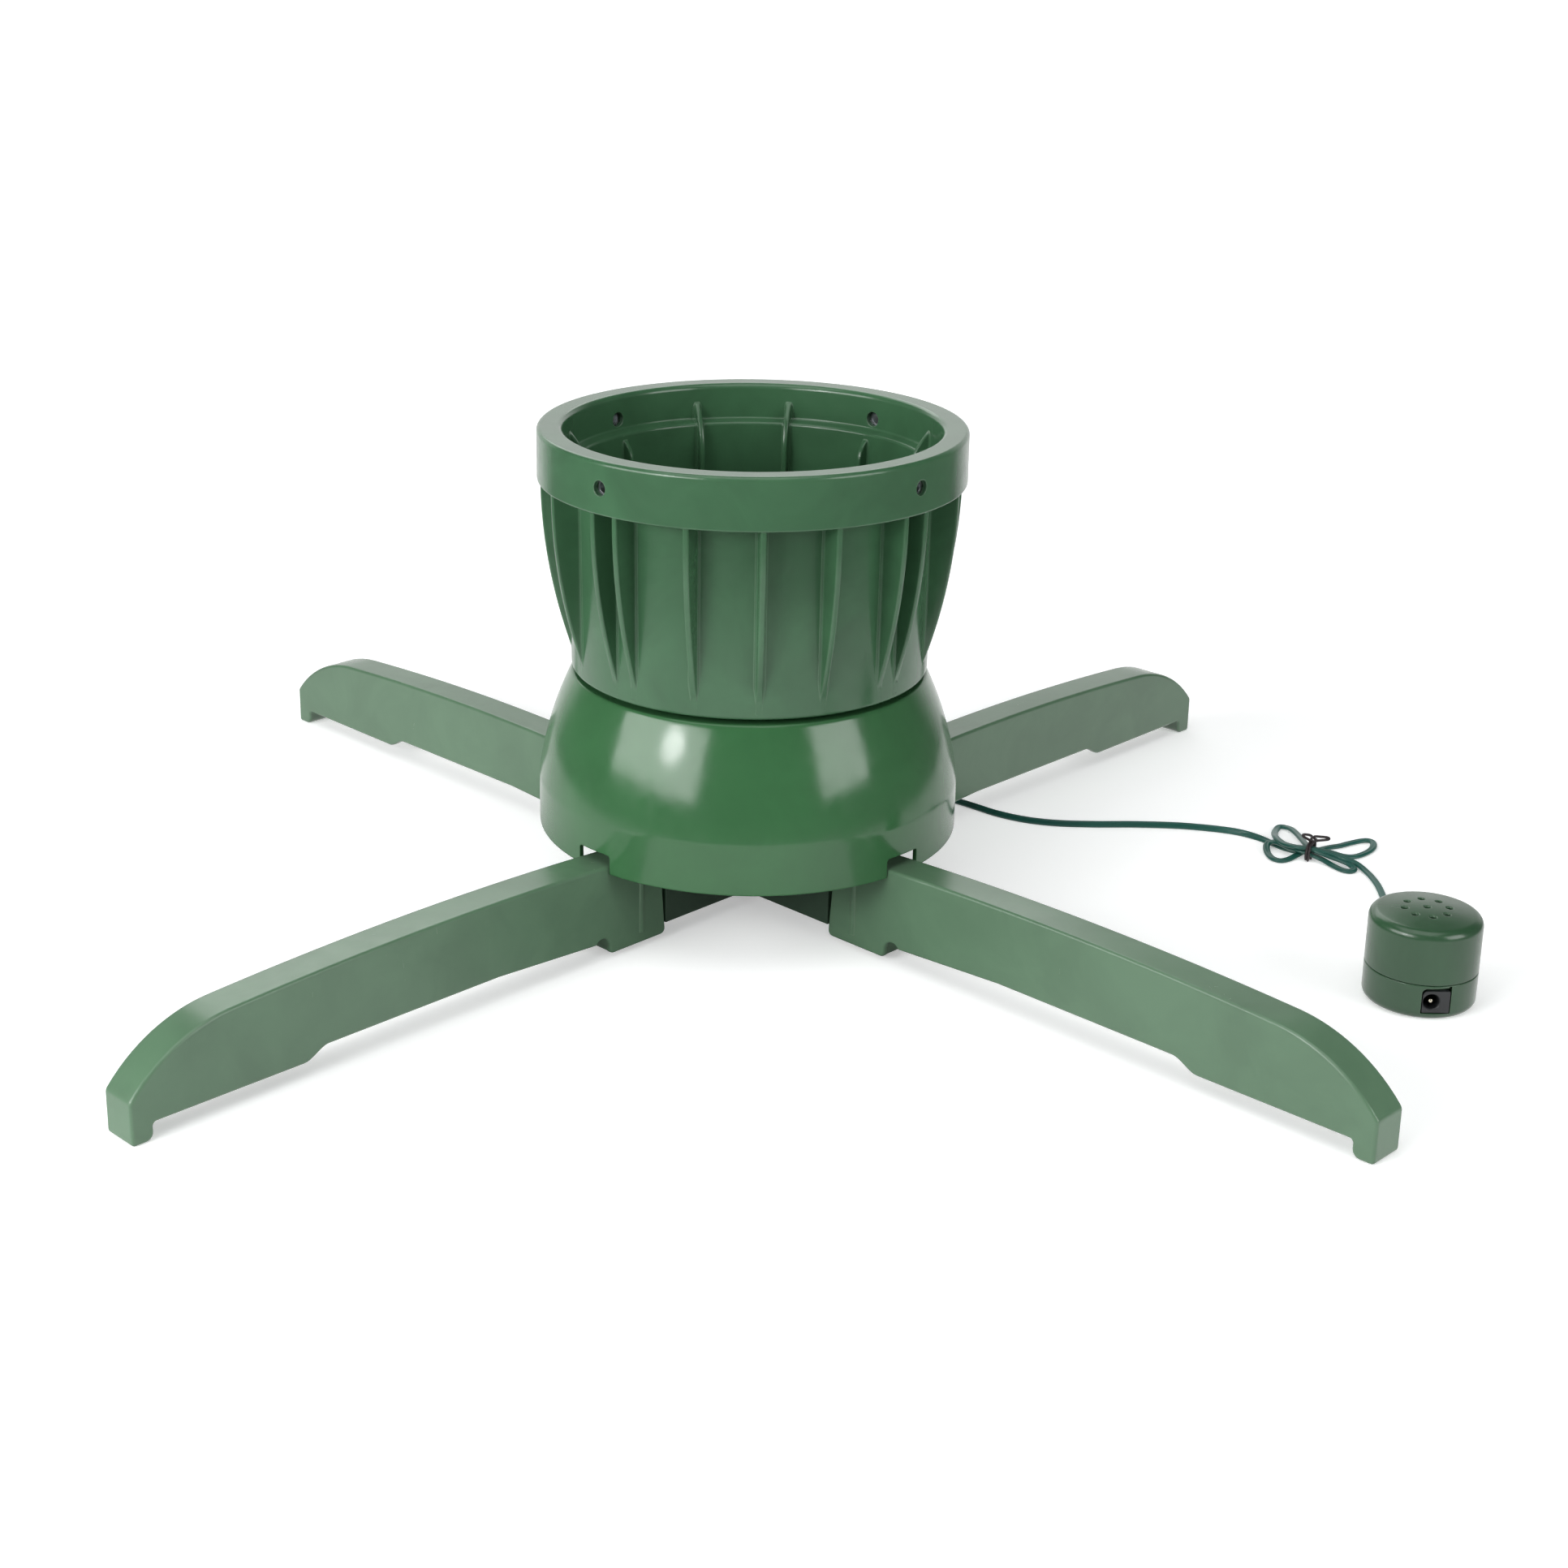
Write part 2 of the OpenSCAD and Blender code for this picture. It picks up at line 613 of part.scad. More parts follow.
// Crossed arms, tongues, plate and bearing tower in one moulding
module base_hub() color(green) {
    arm_top_z = plate_z + eps;
    plate_r = skirt_r - hood_wall - skirt_draft - plate_gap;
    difference() {
        union() {
            for (angle = leg_angles) at_angle(angle) {
                translate([0, -leg_w / 2, hub_arm_z]) cube([hub_arm_r, leg_w, arm_top_z - hub_arm_z]);
                difference() {
                    translate([hub_arm_r - 1, -tongue_w / 2, tongue_z])
                        cube([tongue_l + 1, tongue_w, tongue_top_z - tongue_z]);
                    for (side = [-1, 1])
                        translate([groove_s - groove_w / 2, side * tongue_w / 2 - groove_depth, tongue_z - 1])
                            cube([groove_w, 2 * groove_depth, tongue_top_z - tongue_z + 2]);
                }
            }
            translate([0, 0, barrel_z])
                cylinder(r = nut_bore_r + barrel_wall, h = plate_z - barrel_z, $fn = smooth);
            translate([0, 0, plate_z]) cylinder(r = plate_r, h = plate_t, $fn = smooth * 2);
            translate([0, 0, plate_z]) cylinder(r = tower_r, h = tower_z - plate_z, $fn = smooth);
            translate([0, 0, tower_z - tower_cap_h]) cylinder(r = tower_cap_r, h = tower_cap_h, $fn = smooth);
            for (angle = [0:45:315]) if (abs(angle - motor_angle) > 40) at_angle(angle)
                translate([tower_r - 1, -rib_t / 2, plate_top_z - eps])
                    cube([rib_outer_r - tower_r + 1, rib_t, rib_h]);
            for (side = [-1, 1]) motor_place() translate([0, side * motor_ear, plate_top_z - eps])
                cylinder(r = motor_ear_r, h = motor_top_z - ear_t - plate_top_z + eps, $fn = 48);
        }
        translate([0, 0, hub_arm_z - 1])
            cylinder(r = nut_bore_r, h = bush_stop_z - hub_arm_z + 1, $fn = smooth);
        translate([0, 0, bush_stop_z - eps]) cylinder(r = bush_r + seat_gap, h = bush_l + eps, $fn = smooth);
        translate([0, 0, bush_stop_z]) cylinder(r = spindle_r + 1, h = tower_z, $fn = smooth);
        translate([0, 0, tower_z - bush_l]) cylinder(r = bush_r + seat_gap, h = bush_l + 1, $fn = smooth);
        for (side = [-1, 1]) motor_place() translate([0, side * motor_ear, motor_top_z - motor_screw_l - 1])
            cylinder(r = screw_d / 2, h = motor_screw_l + 1, $fn = 24);
        for (angle = [0:90:270]) at_angle(angle) translate([post_r, 0, plate_z - 1])
            cylinder(r = screw_d / 2 + 0.2, h = plate_t + 2, $fn = 24);
    }
}

// Top and underside of a leg's side view
function crown_z(s) = leg_h - pow(s - crown_s, 2) / (2 * crown_r);
function shoulder_tilt() = asin((shoulder_s - crown_s) / crown_r);
function shoulder_cs() = shoulder_s - shoulder_r * sin(shoulder_tilt());
function shoulder_cz() = crown_z(shoulder_s) - shoulder_r * cos(shoulder_tilt());
function shoulder_z(s, r) = shoulder_cz() + sqrt(r * r - pow(s - shoulder_cs(), 2));
function top_line(from, tip, inset) = concat(
    [for (i = [0:8]) let (s = from + (shoulder_s - from) * i / 8) [s, crown_z(s) - inset]],
    [for (i = [1:8]) let (s = shoulder_s + (tip - shoulder_s) * i / 8) [s, shoulder_z(s, shoulder_r - inset)]]
);
function leg_outline() = concat(
    top_line(hub_arm_r, leg_reach, 0),
    [[leg_reach, 0]],
    arc(leg_reach - foot_l + foot_round_r, foot_round_r, foot_round_r, -90, -180, 4),
    [[leg_reach - foot_l, tip_under_z + 0.5]],
    [for (i = [0:6]) [step_s - step_l * i / 6,
        tip_under_z + (mid_under_z - tip_under_z) * (1 - cos(180 * i / 6)) / 2]],
    [[arch_s + belly_l, mid_under_z]],
    arc(arch_s + arch_r, pad_z + arch_rise, arch_r, 32, 180, 8),
    arc(arch_s - pad_round_r, pad_z + pad_round_r, pad_round_r, 0, -90, 4),
    arc(hub_arm_r + pad_round_r, pad_z + pad_round_r, pad_round_r, -90, -180, 4)
);

module leg() color(green) difference() {
    union() {
        rotate([90, 0, 0]) translate([0, 0, -leg_w / 2]) linear_extrude(leg_w) polygon(leg_outline());
        for (side = [-1, 1]) translate([ridge_s - ridge_w / 2, side * (leg_w / 2 - 1) - 1 - ridge_proud, 7])
            cube([ridge_w, 2 + 2 * ridge_proud, crown_z(hub_arm_r) - 9]);
    }
    difference() {
        rotate([90, 0, 0]) translate([0, 0, leg_wall - leg_w / 2]) linear_extrude(leg_w - 2 * leg_wall)
            polygon(concat(top_line(hub_arm_r - 1, leg_reach - foot_l - leg_wall, leg_wall),
                [[leg_reach - foot_l - leg_wall, -1], [hub_arm_r - 1, -1]]));
        translate([arch_s - pad_web_t, -leg_w / 2, pad_z - eps]) cube([pad_web_t, leg_w, pad_web_h]);
        for (i = [1:leg_ribs]) {
            first_s = hub_arm_r + tongue_l + 12;
            s = first_s + (leg_reach - foot_l - first_s) * (i - 0.5) / leg_ribs;
            translate([s, -leg_w / 2, mid_under_z + 3]) cube([2, leg_w, leg_h]);
        }
    }
}

module leg_front_left() at_angle(leg_angles[0]) leg();
module leg_front_right() at_angle(leg_angles[1]) leg();
module leg_back_left() at_angle(leg_angles[2]) leg();
module leg_back_right() at_angle(leg_angles[3]) leg();

// Half profile of the hood: skirt, soft corner, cone and dome, drawn in from the outside by inset
function cone_start() = [skirt_r - corner_r * (1 - cos(cone_slope)),
    hood_z + skirt_h + corner_r * sin(cone_slope)];
function dome_start_z() = hood_top_z - dome_h;
function dome_start() = [cone_start()[0] - (dome_start_z() - cone_start()[1]) * tan(cone_slope),
    dome_start_z()];
function dome_end_slope() = 2 * atan((dome_start()[0] - dome_top_r) / dome_h) - cone_slope;
function dome_r() = dome_h / (sin(dome_end_slope()) - sin(cone_slope));
function hood_side(inset) = concat(
    [[skirt_r - skirt_draft - inset, hood_z]],
    arc(skirt_r - corner_r, hood_z + skirt_h, corner_r - inset, 0, cone_slope, 3),
    arc(dome_start()[0] - dome_r() * cos(cone_slope), dome_start()[1] - dome_r() * sin(cone_slope),
        dome_r() - inset, cone_slope, dome_end_slope(), 6)
);
function reversed(list) = [for (i = [len(list) - 1:-1:0]) list[i]];
function hood_outline() = concat(
    hood_side(0),
    [[dome_top_r - 1, hood_top_z], [deck_hole_r, hood_top_z], [deck_hole_r, hood_top_z - hood_wall],
     [dome_top_r - hood_wall, hood_top_z - hood_wall]],
    reversed([for (p = hood_side(hood_wall)) if (p[1] < hood_top_z - hood_wall - 0.5) p])
);

module hood() color(green) {
    deck_z = hood_top_z - hood_wall;
    difference() {
        union() {
            rotate_extrude($fn = smooth * 2) polygon(hood_outline());
            for (angle = [0:90:270]) at_angle(angle) translate([post_r, 0, plate_top_z])
                cylinder(r = post_wall_r, h = deck_z - plate_top_z + eps, $fn = 36);
        }
        for (angle = leg_angles) at_angle(angle)
            translate([skirt_r - corner_r, -leg_w / 2 - notch_gap, hood_z - 1])
                cube([2 * corner_r, leg_w + 2 * notch_gap, notch_top_z - hood_z + 1]);
        for (angle = [0:90:270]) at_angle(angle) translate([post_r, 0, plate_top_z - eps])
            cylinder(r = screw_d / 2, h = post_screw_l + eps, $fn = 24);
        at_angle(grommet_angle) translate([skirt_r - 10, 0, grommet_z]) rotate([0, 90, 0])
            cylinder(d = grommet_d - 3, h = 20, $fn = 48);
    }
}

module hood_screws() color(steel) for (angle = [0:90:270]) at_angle(angle)
    translate([post_r, 0, plate_z]) screw_up(plate_t + post_screw_l - 2, screw_d / 2 - seat_gap);

// Moves a piece to the motor's shaft, with its X axis pointing away from the stand's axis
module motor_place() {
    at_angle(motor_angle) translate([motor_r, 0, 0]) children();
}

module gear_motor() color(steel) motor_place() difference() {
    union() {
        translate([0, 0, motor_top_z - motor_h]) cylinder(d = motor_d, h = motor_h, $fn = smooth);
        translate([0, 0, motor_top_z - eps]) cylinder(r = motor_boss_r, h = motor_boss_h + eps, $fn = 48);
        translate([-motor_ear_r, -motor_ear, motor_top_z - ear_t])
            cube([2 * motor_ear_r, 2 * motor_ear, ear_t]);
        for (side = [-1, 1]) translate([0, side * motor_ear, motor_top_z - ear_t])
            cylinder(r = motor_ear_r, h = ear_t, $fn = 48);
        rotate([0, 0, terminal_turn])
            translate([motor_d / 2 - 1, -terminal_w / 2, terminal_z])
                cube([terminal_l + 1, terminal_w, terminal_h]);
    }
    for (side = [-1, 1]) translate([0, side * motor_ear, motor_top_z - ear_t - 1])
        cylinder(r = screw_d / 2 + 0.2, h = ear_t + 2, $fn = 24);
    translate([0, 0, motor_top_z - motor_shaft_depth])
        cylinder(r = shaft_d / 2 + run_fit, h = motor_shaft_depth + motor_boss_h + 1, $fn = 48);
}

module motor_screws() color(steel) for (side = [-1, 1]) motor_place()
    translate([0, side * motor_ear, motor_top_z]) mirror([0, 0, 1])
        screw_up(motor_screw_l, screw_d / 2 - seat_gap);

module motor_shaft() color(steel) motor_place() translate([0, 0, motor_top_z - motor_shaft_depth + 0.3])
    cylinder(d = shaft_d, h = pinion_z + pinion_h - motor_top_z + motor_shaft_depth - 0.3, $fn = 48);

module drive_pinion() color(acetal) motor_place() difference() {
    union() {
        translate([0, 0, pinion_z]) rotate([0, 0, 180 + 180 / pinion_teeth])
            linear_extrude(pinion_h) polygon(gear_points(pinion_teeth));
        translate([0, 0, pinion_z - pinion_hub_h])
            cylinder(r = pinion_hub_r, h = pinion_hub_h + eps, $fn = 48);
    }
    translate([0, 0, pinion_z - pinion_hub_h - 1])
        cylinder(r = shaft_d / 2 + seat_gap, h = pinion_h + pinion_hub_h + 2, $fn = 48);
}

// Tube swept along a route: wide across, thin upwards, eight sides
function unit(v) = v / norm(v);
function ahead(route, i) = unit(route[min(i + 1, len(route) - 1)] - route[max(i - 1, 0)]);
function cross_ring(route, i, w, t) =
    let (along = ahead(route, i), across = unit(cross([0, 0, 1], along)), up = cross(along, across))
    [for (k = [0:7]) route[i] + across * w / 2 * cos(22.5 + 45 * k) / cos(22.5)
        + up * t / 2 * sin(22.5 + 45 * k) / cos(22.5)];
// One more point between each two of the route, on a curve through all of them
function between(p, i) =
    let (a = p[max(i - 1, 0)], b = p[i], c = p[i + 1], d = p[min(i + 2, len(p) - 1)])
    (9 * (b + c) - a - d) / 16;
function finer(p) = [for (i = [0:len(p) - 2], k = [0, 1]) k == 0 ? p[i] : between(p, i)];
function fine_route(p) = concat(finer(p), [p[len(p) - 1]]);

module swept(route, w, t) {
    rings = len(route);
    points = [for (i = [0:rings - 1]) each cross_ring(route, i, w, t)];
    sides = [for (i = [0:rings - 2], k = [0:7])
        [8 * i + k, 8 * i + (k + 1) % 8, 8 * i + 8 + (k + 1) % 8, 8 * i + 8 + k]];
    polyhedron(points, concat([[for (k = [7:-1:0]) k]], sides, [[for (k = [0:7]) 8 * rings - 8 + k]]));
}

module grommet_place() {
    at_angle(grommet_angle) translate([skirt_r, 0, grommet_z]) rotate([0, 90, 0]) children();
}

module cord_grommet() color(black) grommet_place() difference() {
    union() {
        translate([0, 0, -hood_wall - 2.4]) cylinder(d = grommet_d, h = 2, $fn = 48);
        translate([0, 0, -hood_wall - 1])
            cylinder(d = grommet_d - 3 - 2 * seat_gap, h = hood_wall + 2, $fn = 48);
        translate([0, 0, 0.1]) cylinder(d1 = grommet_d, d2 = grommet_d - 5, h = 3.5, $fn = 48);
    }
    translate([0, 0, -hood_wall - 4]) cylinder(d = cord_w, h = hood_wall + 10, $fn = 36);
}

module cord_to_base() color(cord_green) swept(fine_route(route_to_base), cord_w, cord_t);
module cord_to_pod() color(cord_green) swept(fine_route(route_to_pod), cord_w, cord_t);

// Two single leads from the cord's inner end to the motor's terminals
module motor_leads() color(cord_green) {
    for (side = [-1, 1]) swept([for (i = [0:6]) let (u = i / 6, rise = (1 - cos(180 * u)) / 2) [
        lead_start[0] + (lead_end[0] - lead_start[0]) * u + side * (0.9 + 1.8 * u),
        lead_start[1] + (lead_end[1] - lead_start[1]) * u,
        grommet_z + (terminal_z + terminal_h / 2 - grommet_z) * rise]], lead_d, lead_d);
}

// Block across the bow's waist, where the tie goes round it
module waist(w, from_z, to_z) {
    translate([hank_centre[0], hank_centre[1], from_z]) rotate([0, 0, tie_turn])
        translate([-tie_l / 2, -w / 2, 0]) cube([tie_l, w, to_z - from_z]);
}

// Outer shape of the tied bow of cord: a round-ended bar for each loop
module cord_hank() color(cord_green) difference() {
    translate([hank_centre[0], hank_centre[1], 0.1]) linear_extrude(hank_h - 0.1 - tie_t) for (l = hank_loops)
        rotate([0, 0, l[0]]) {
            translate([l[1] - l[2] / 2, 0]) circle(d = l[2], $fn = 36);
            polygon([[-4, -4], [l[1] - l[2] / 2, -l[2] / 2], [l[1] - l[2] / 2, l[2] / 2], [-4, 4]]);
        }
    difference() {
        waist(hank_span, -1, hank_h);
        waist(tie_w - 2 * tie_t, 0.1 + tie_t, hank_h - tie_t);
    }
}

module twist_tie() color(black) difference() {
    waist(tie_w, 0.1, hank_h);
    waist(tie_w - 2 * tie_t + 0.1, tie_t, hank_h - tie_t + seat_gap);
}

module pod_place() {
    translate([pod_x, pod_y, 0]) children();
}

module pod_cap() color(pod_green) pod_place() difference() {
    union() {
        difference() {
            rotate_extrude($fn = smooth) polygon(concat([[0, pod_seam_z], [pod_r, pod_seam_z]],
                arc(pod_r - pod_round, pod_h - pod_crown - pod_round, pod_round, 0, 80, 6),
                [for (k = [4:-1:0]) [(pod_r - pod_round) * k / 5, pod_h - pod_crown * k * k / 25]]));
            translate([0, 0, pod_seam_z - 1])
                cylinder(r = pod_r - pod_wall, h = cap_inner_z - pod_seam_z + 1, $fn = smooth);
        }
        for (angle = pod_screw_angles) at_angle(angle) {
            translate([pod_screw_r, 0, cap_boss_z])
                cylinder(r = pod_boss_r, h = speaker_top_z - speaker_h - cap_boss_z, $fn = 36);
            translate([pod_screw_r, -0.8, pod_seam_z + seat_gap])
                cube([pod_r - 1 - pod_screw_r, 1.6, speaker_top_z - speaker_h - pod_seam_z]);
        }
    }
    translate([0, 0, pod_h - 6]) cylinder(d = sound_hole_d, h = 10, $fn = 24);
    for (i = [0:7]) rotate([0, 0, i * 45]) translate([sound_ring_r, 0, pod_h - 6])
        cylinder(d = sound_hole_d, h = 10, $fn = 24);
    for (angle = pod_screw_angles) at_angle(angle) translate([pod_screw_r, 0, cap_boss_z - 1])
        cylinder(r = pod_screw_hole_r, h = pod_screw_hole + 1, $fn = 24);
}

module pod_base() color(pod_green) pod_place() difference() {
    union() {
        difference() {
            rotate_extrude($fn = smooth) polygon(concat([[0, pod_seam_z], [0, 0]],
                arc(pod_r - pod_foot_round, pod_foot_round, pod_foot_round, -90, 0, 5),
                [[pod_r, pod_seam_z]]));
            translate([0, 0, pod_floor_t]) cylinder(r = pod_r - pod_wall, h = pod_seam_z, $fn = smooth);
        }
        for (angle = pod_screw_angles) at_angle(angle) translate([pod_screw_r, 0, 1])
            cylinder(r = pod_boss_r, h = board_z - seat_gap - 1, $fn = 36);
    }
    translate([jack_x - jack_w / 2 - jack_cut_gap, -pod_r - 1, jack_z - jack_seat])
        cube([jack_w + 2 * jack_cut_gap, jack_l + 2, jack_h + jack_cut_top + jack_seat]);
    for (angle = pod_screw_angles) at_angle(angle) translate([pod_screw_r, 0, -1]) {
        cylinder(r = pod_screw_hole_r + 0.2, h = pod_seam_z + 2, $fn = 24);
        cylinder(r = 2.3, h = pod_screw_head_z + 1, $fn = 24);
    }
    translate([0, pod_r - pod_wall - 1, pod_cord_z]) rotate([-90, 0, 0])
        cylinder(r = pod_grommet_r + seat_gap, h = pod_wall + 2, $fn = 36);
}

module pod_screws() color(steel) pod_place() for (angle = pod_screw_angles) at_angle(angle)
    translate([pod_screw_r, 0, pod_screw_head_z])
        screw_up(cap_boss_z + pod_screw_hole - 1 - pod_screw_head_z, pod_screw_hole_r - seat_gap, 2.1, 1.6);

module pod_grommet() color(black) pod_place() translate([0, pod_r - pod_wall - 1, pod_cord_z])
    rotate([-90, 0, 0]) difference() {
        union() {
            cylinder(r = pod_grommet_r, h = pod_wall + 1, $fn = 36);
            translate([0, 0, pod_wall + 1.1]) cylinder(r = pod_grommet_r + 1, h = 1.4, $fn = 36);
            translate([0, 0, 1]) cylinder(r = pod_grommet_r - 0.5, h = pod_wall + 1, $fn = 36);
        }
        translate([0, 0, -1]) cylinder(d = cord_w, h = pod_wall + 6, $fn = 24);
    }

module speaker_basket() color(steel) pod_place() translate([0, 0, speaker_top_z - speaker_h]) difference() {
    union() {
        translate([0, 0, speaker_h - speaker_rim_h]) cylinder(r = speaker_r, h = speaker_rim_h, $fn = smooth);
        cylinder(r1 = cone_small_r + 1, r2 = cone_big_r + 1, h = speaker_h - eps, $fn = smooth);
    }
    translate([0, 0, basket_floor]) cylinder(r1 = cone_small_r, r2 = cone_big_r, h = cone_h, $fn = smooth);
    translate([0, 0, basket_floor + cone_h - eps]) cylinder(r = cone_big_r, h = 1, $fn = smooth);
}

module speaker_cone() color(black) pod_place() translate([0, 0, speaker_top_z - speaker_h + basket_floor])
    difference() {
        cylinder(r1 = cone_small_r - seat_gap, r2 = cone_big_r - seat_gap, h = cone_h, $fn = smooth);
        translate([0, 0, paper_t])
            cylinder(r1 = cone_small_r - paper_t, r2 = cone_big_r - paper_t, h = cone_h, $fn = smooth);
    }

module speaker_magnet() color(steel) pod_place() translate([0, 0, speaker_top_z - speaker_h - magnet_h])
    cylinder(r = magnet_r, h = magnet_h, $fn = smooth);

module circuit_board() color("#2d6b3a") pod_place() difference() {
    translate([0, 0, board_z]) cylinder(r = board_r, h = board_t, $fn = smooth);
    for (angle = pod_screw_angles) at_angle(angle) translate([pod_screw_r, 0, board_z - 1])
        cylinder(r = pod_screw_hole_r + 0.2, h = board_t + 2, $fn = 36);
}

module power_jack() color(black) pod_place() difference() {
    translate([jack_x - jack_w / 2, -jack_face_r, jack_z]) cube([jack_w, jack_l, jack_h]);
    translate([jack_x + jack_shift, -jack_face_r - 1, jack_z + jack_h / 2]) rotate([-90, 0, 0])
        cylinder(d = jack_bore_d, h = jack_l - 2, $fn = 48);
}

module jack_pin() color(steel) pod_place()
    translate([jack_x + jack_shift, -jack_face_r + 1, jack_z + jack_h / 2]) rotate([-90, 0, 0])
        cylinder(d = jack_pin_d, h = jack_l - 4, $fn = 36);

tree_bucket();
screw_inserts();
drive_gear();
gear_screws();
spindle();
upper_race();
spindle_washer();
lock_nut();
ball_cage();
bearing_balls();
lower_race();
upper_bush();
lower_bush();
base_hub();
leg_front_left();
leg_front_right();
leg_back_left();
leg_back_right();
hood();
hood_screws();
gear_motor();
motor_screws();
motor_shaft();
drive_pinion();
motor_leads();
cord_grommet();
cord_to_base();
cord_hank();
twist_tie();
cord_to_pod();
pod_grommet();
pod_cap();
pod_base();
pod_screws();
speaker_basket();
speaker_cone();
speaker_magnet();
circuit_board();
power_jack();
jack_pin();
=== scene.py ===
import math

import bmesh
import bpy
import numpy as np
from mathutils import Matrix


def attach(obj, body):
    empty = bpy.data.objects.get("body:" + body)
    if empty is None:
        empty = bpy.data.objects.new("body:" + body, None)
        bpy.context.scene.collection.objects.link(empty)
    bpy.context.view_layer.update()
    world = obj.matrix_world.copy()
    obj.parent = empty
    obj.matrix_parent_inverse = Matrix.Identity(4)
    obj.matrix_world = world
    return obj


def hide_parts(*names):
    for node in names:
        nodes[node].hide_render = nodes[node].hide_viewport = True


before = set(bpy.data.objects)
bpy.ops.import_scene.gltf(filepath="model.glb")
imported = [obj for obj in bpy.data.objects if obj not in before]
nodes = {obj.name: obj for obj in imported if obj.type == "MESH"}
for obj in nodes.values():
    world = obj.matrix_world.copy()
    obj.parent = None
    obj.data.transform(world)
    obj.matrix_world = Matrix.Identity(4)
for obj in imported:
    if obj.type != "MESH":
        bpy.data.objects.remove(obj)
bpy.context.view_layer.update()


# ---- Floor, light and camera ----
# A plain white floor that runs out to white. Two soft windows stand in front, left and right, a
# large soft lamp hangs overhead and another stands behind. The camera has the photograph's place,
# lens and framing.

def linear(code):
    """An sRGB hex code as linear colour: ((c + 0.055) / 1.055) ** 2.4, or c / 12.92 where it is dark."""
    c = np.array([int(code[i:i + 2], 16) for i in (1, 3, 5)]) / 255
    return (*np.where(c > 0.04045, ((c + 0.055) / 1.055) ** 2.4, c / 12.92), 1.0)


def add(tree, kind, inputs=None, **settings):
    """Adds a node with its settings; an input gets a value, or a link from another node's output."""
    made = tree.nodes.new("ShaderNode" + kind)
    for name, value in settings.items():
        setattr(made, name, value)
    for name, value in (inputs or {}).items():
        if isinstance(value, bpy.types.NodeSocket):
            tree.links.new(value, made.inputs[name])
        else:
            made.inputs[name].default_value = value
    return made


def blank(name):
    """A new material and its empty node tree."""
    material = bpy.data.materials.new(name)
    material.use_nodes = True
    material.node_tree.nodes.clear()
    return material, material.node_tree


def rays(tree):
    """Two outputs: 1 for a ray from the camera, and 1 for a ray from a reflection or through glass."""
    path = add(tree, "LightPath")
    mirrored = add(tree, "Math", {0: path.outputs["Is Glossy Ray"], 1: path.outputs["Is Transmission Ray"]},
                   operation="MAXIMUM")
    return path.outputs["Is Camera Ray"], mirrored.outputs[0]


def ramp(tree, value, start, end, low, high):
    """A smooth step: low up to start, high from end."""
    return add(tree, "MapRange", {"Value": value, "From Min": start, "From Max": end, "To Min": low,
                                  "To Max": high}, interpolation_type="SMOOTHSTEP").outputs[0]


# A low white sweep stands behind the object. Above it and in front the room is dim, and only
# reflections show that: the camera sees white all round.
world = bpy.data.worlds.new("studio")
bpy.context.scene.world = world
world.use_nodes = True
tree = world.node_tree
tree.nodes.clear()
seen, mirrored = rays(tree)
direction = add(tree, "SeparateXYZ", {0: add(tree, "TexCoord").outputs["Generated"]})
behind = ramp(tree, direction.outputs["Y"], 0.50, 0.85, 0.10, 1.0)
below = ramp(tree, direction.outputs["Z"], 0.24, 0.60, 1.0, 0.14)
sweep = add(tree, "Math", {0: behind, 1: below}, operation="MULTIPLY")
light = add(tree, "Background", {"Color": linear("#f4f7f8"), "Strength": 0.14})
room = add(tree, "Background", {"Color": (1, 1, 1, 1), "Strength": sweep.outputs[0]})
white = add(tree, "Background", {"Color": (1, 1, 1, 1), "Strength": 1.0})
lit = add(tree, "MixShader", {0: mirrored, 1: light.outputs[0], 2: room.outputs[0]})
shown = add(tree, "MixShader", {0: seen, 1: lit.outputs[0], 2: white.outputs[0]})
add(tree, "OutputWorld", {"Surface": shown.outputs[0]})

# Matt white paint on a smooth board, without a pattern. The camera sees it lifted to white, more so
# further out. Reflections see a glowing white table half a metre round that runs on to the back. Under
# the hood its glow is dimmed: a painted shadow of the hood.
paint, tree = blank("matt white floor paint")
seen, mirrored = rays(tree)
place = add(tree, "TexCoord").outputs["Object"]
away = add(tree, "VectorMath", {0: place}, operation="LENGTH").outputs["Value"]
matt = add(tree, "BsdfDiffuse", {"Color": linear("#f3f4f4"), "Roughness": 0.5})
glow = add(tree, "Emission", {"Color": (1, 1, 1, 1), "Strength": ramp(tree, away, 0.45, 1.7, 0.38, 0.95)})
none = add(tree, "Emission", {"Color": (0, 0, 0, 1), "Strength": 0.0})
lift = add(tree, "MixShader", {0: seen, 1: none.outputs[0], 2: glow.outputs[0]})
painted = add(tree, "AddShader", {0: matt.outputs[0], 1: lift.outputs[0]})
heading = add(tree, "VectorMath", {0: place}, operation="NORMALIZE").outputs["Vector"]
backwards = ramp(tree, add(tree, "SeparateXYZ", {0: heading}).outputs["Y"], 0.50, 0.85, 0.0, 1.0)
near = ramp(tree, away, 0.42, 0.62, 1.0, 0.15)
# Painted shadow: the table's glow, seen only in reflections, dimmed to 0.12 under the hood
hood_shadow_painted = ramp(tree, away, 0.08, 0.20, 0.12, 1.0)
spread_out = add(tree, "Math", {0: near, 1: backwards}, operation="MAXIMUM")
shade = add(tree, "Math", {0: hood_shadow_painted, 1: spread_out.outputs[0]}, operation="MULTIPLY")
table = add(tree, "Emission", {"Color": (1, 1, 1, 1), "Strength": shade.outputs[0]})
floor_look = add(tree, "MixShader", {0: mirrored, 1: painted.outputs[0], 2: table.outputs[0]})
add(tree, "OutputMaterial", {"Surface": floor_look.outputs[0]})

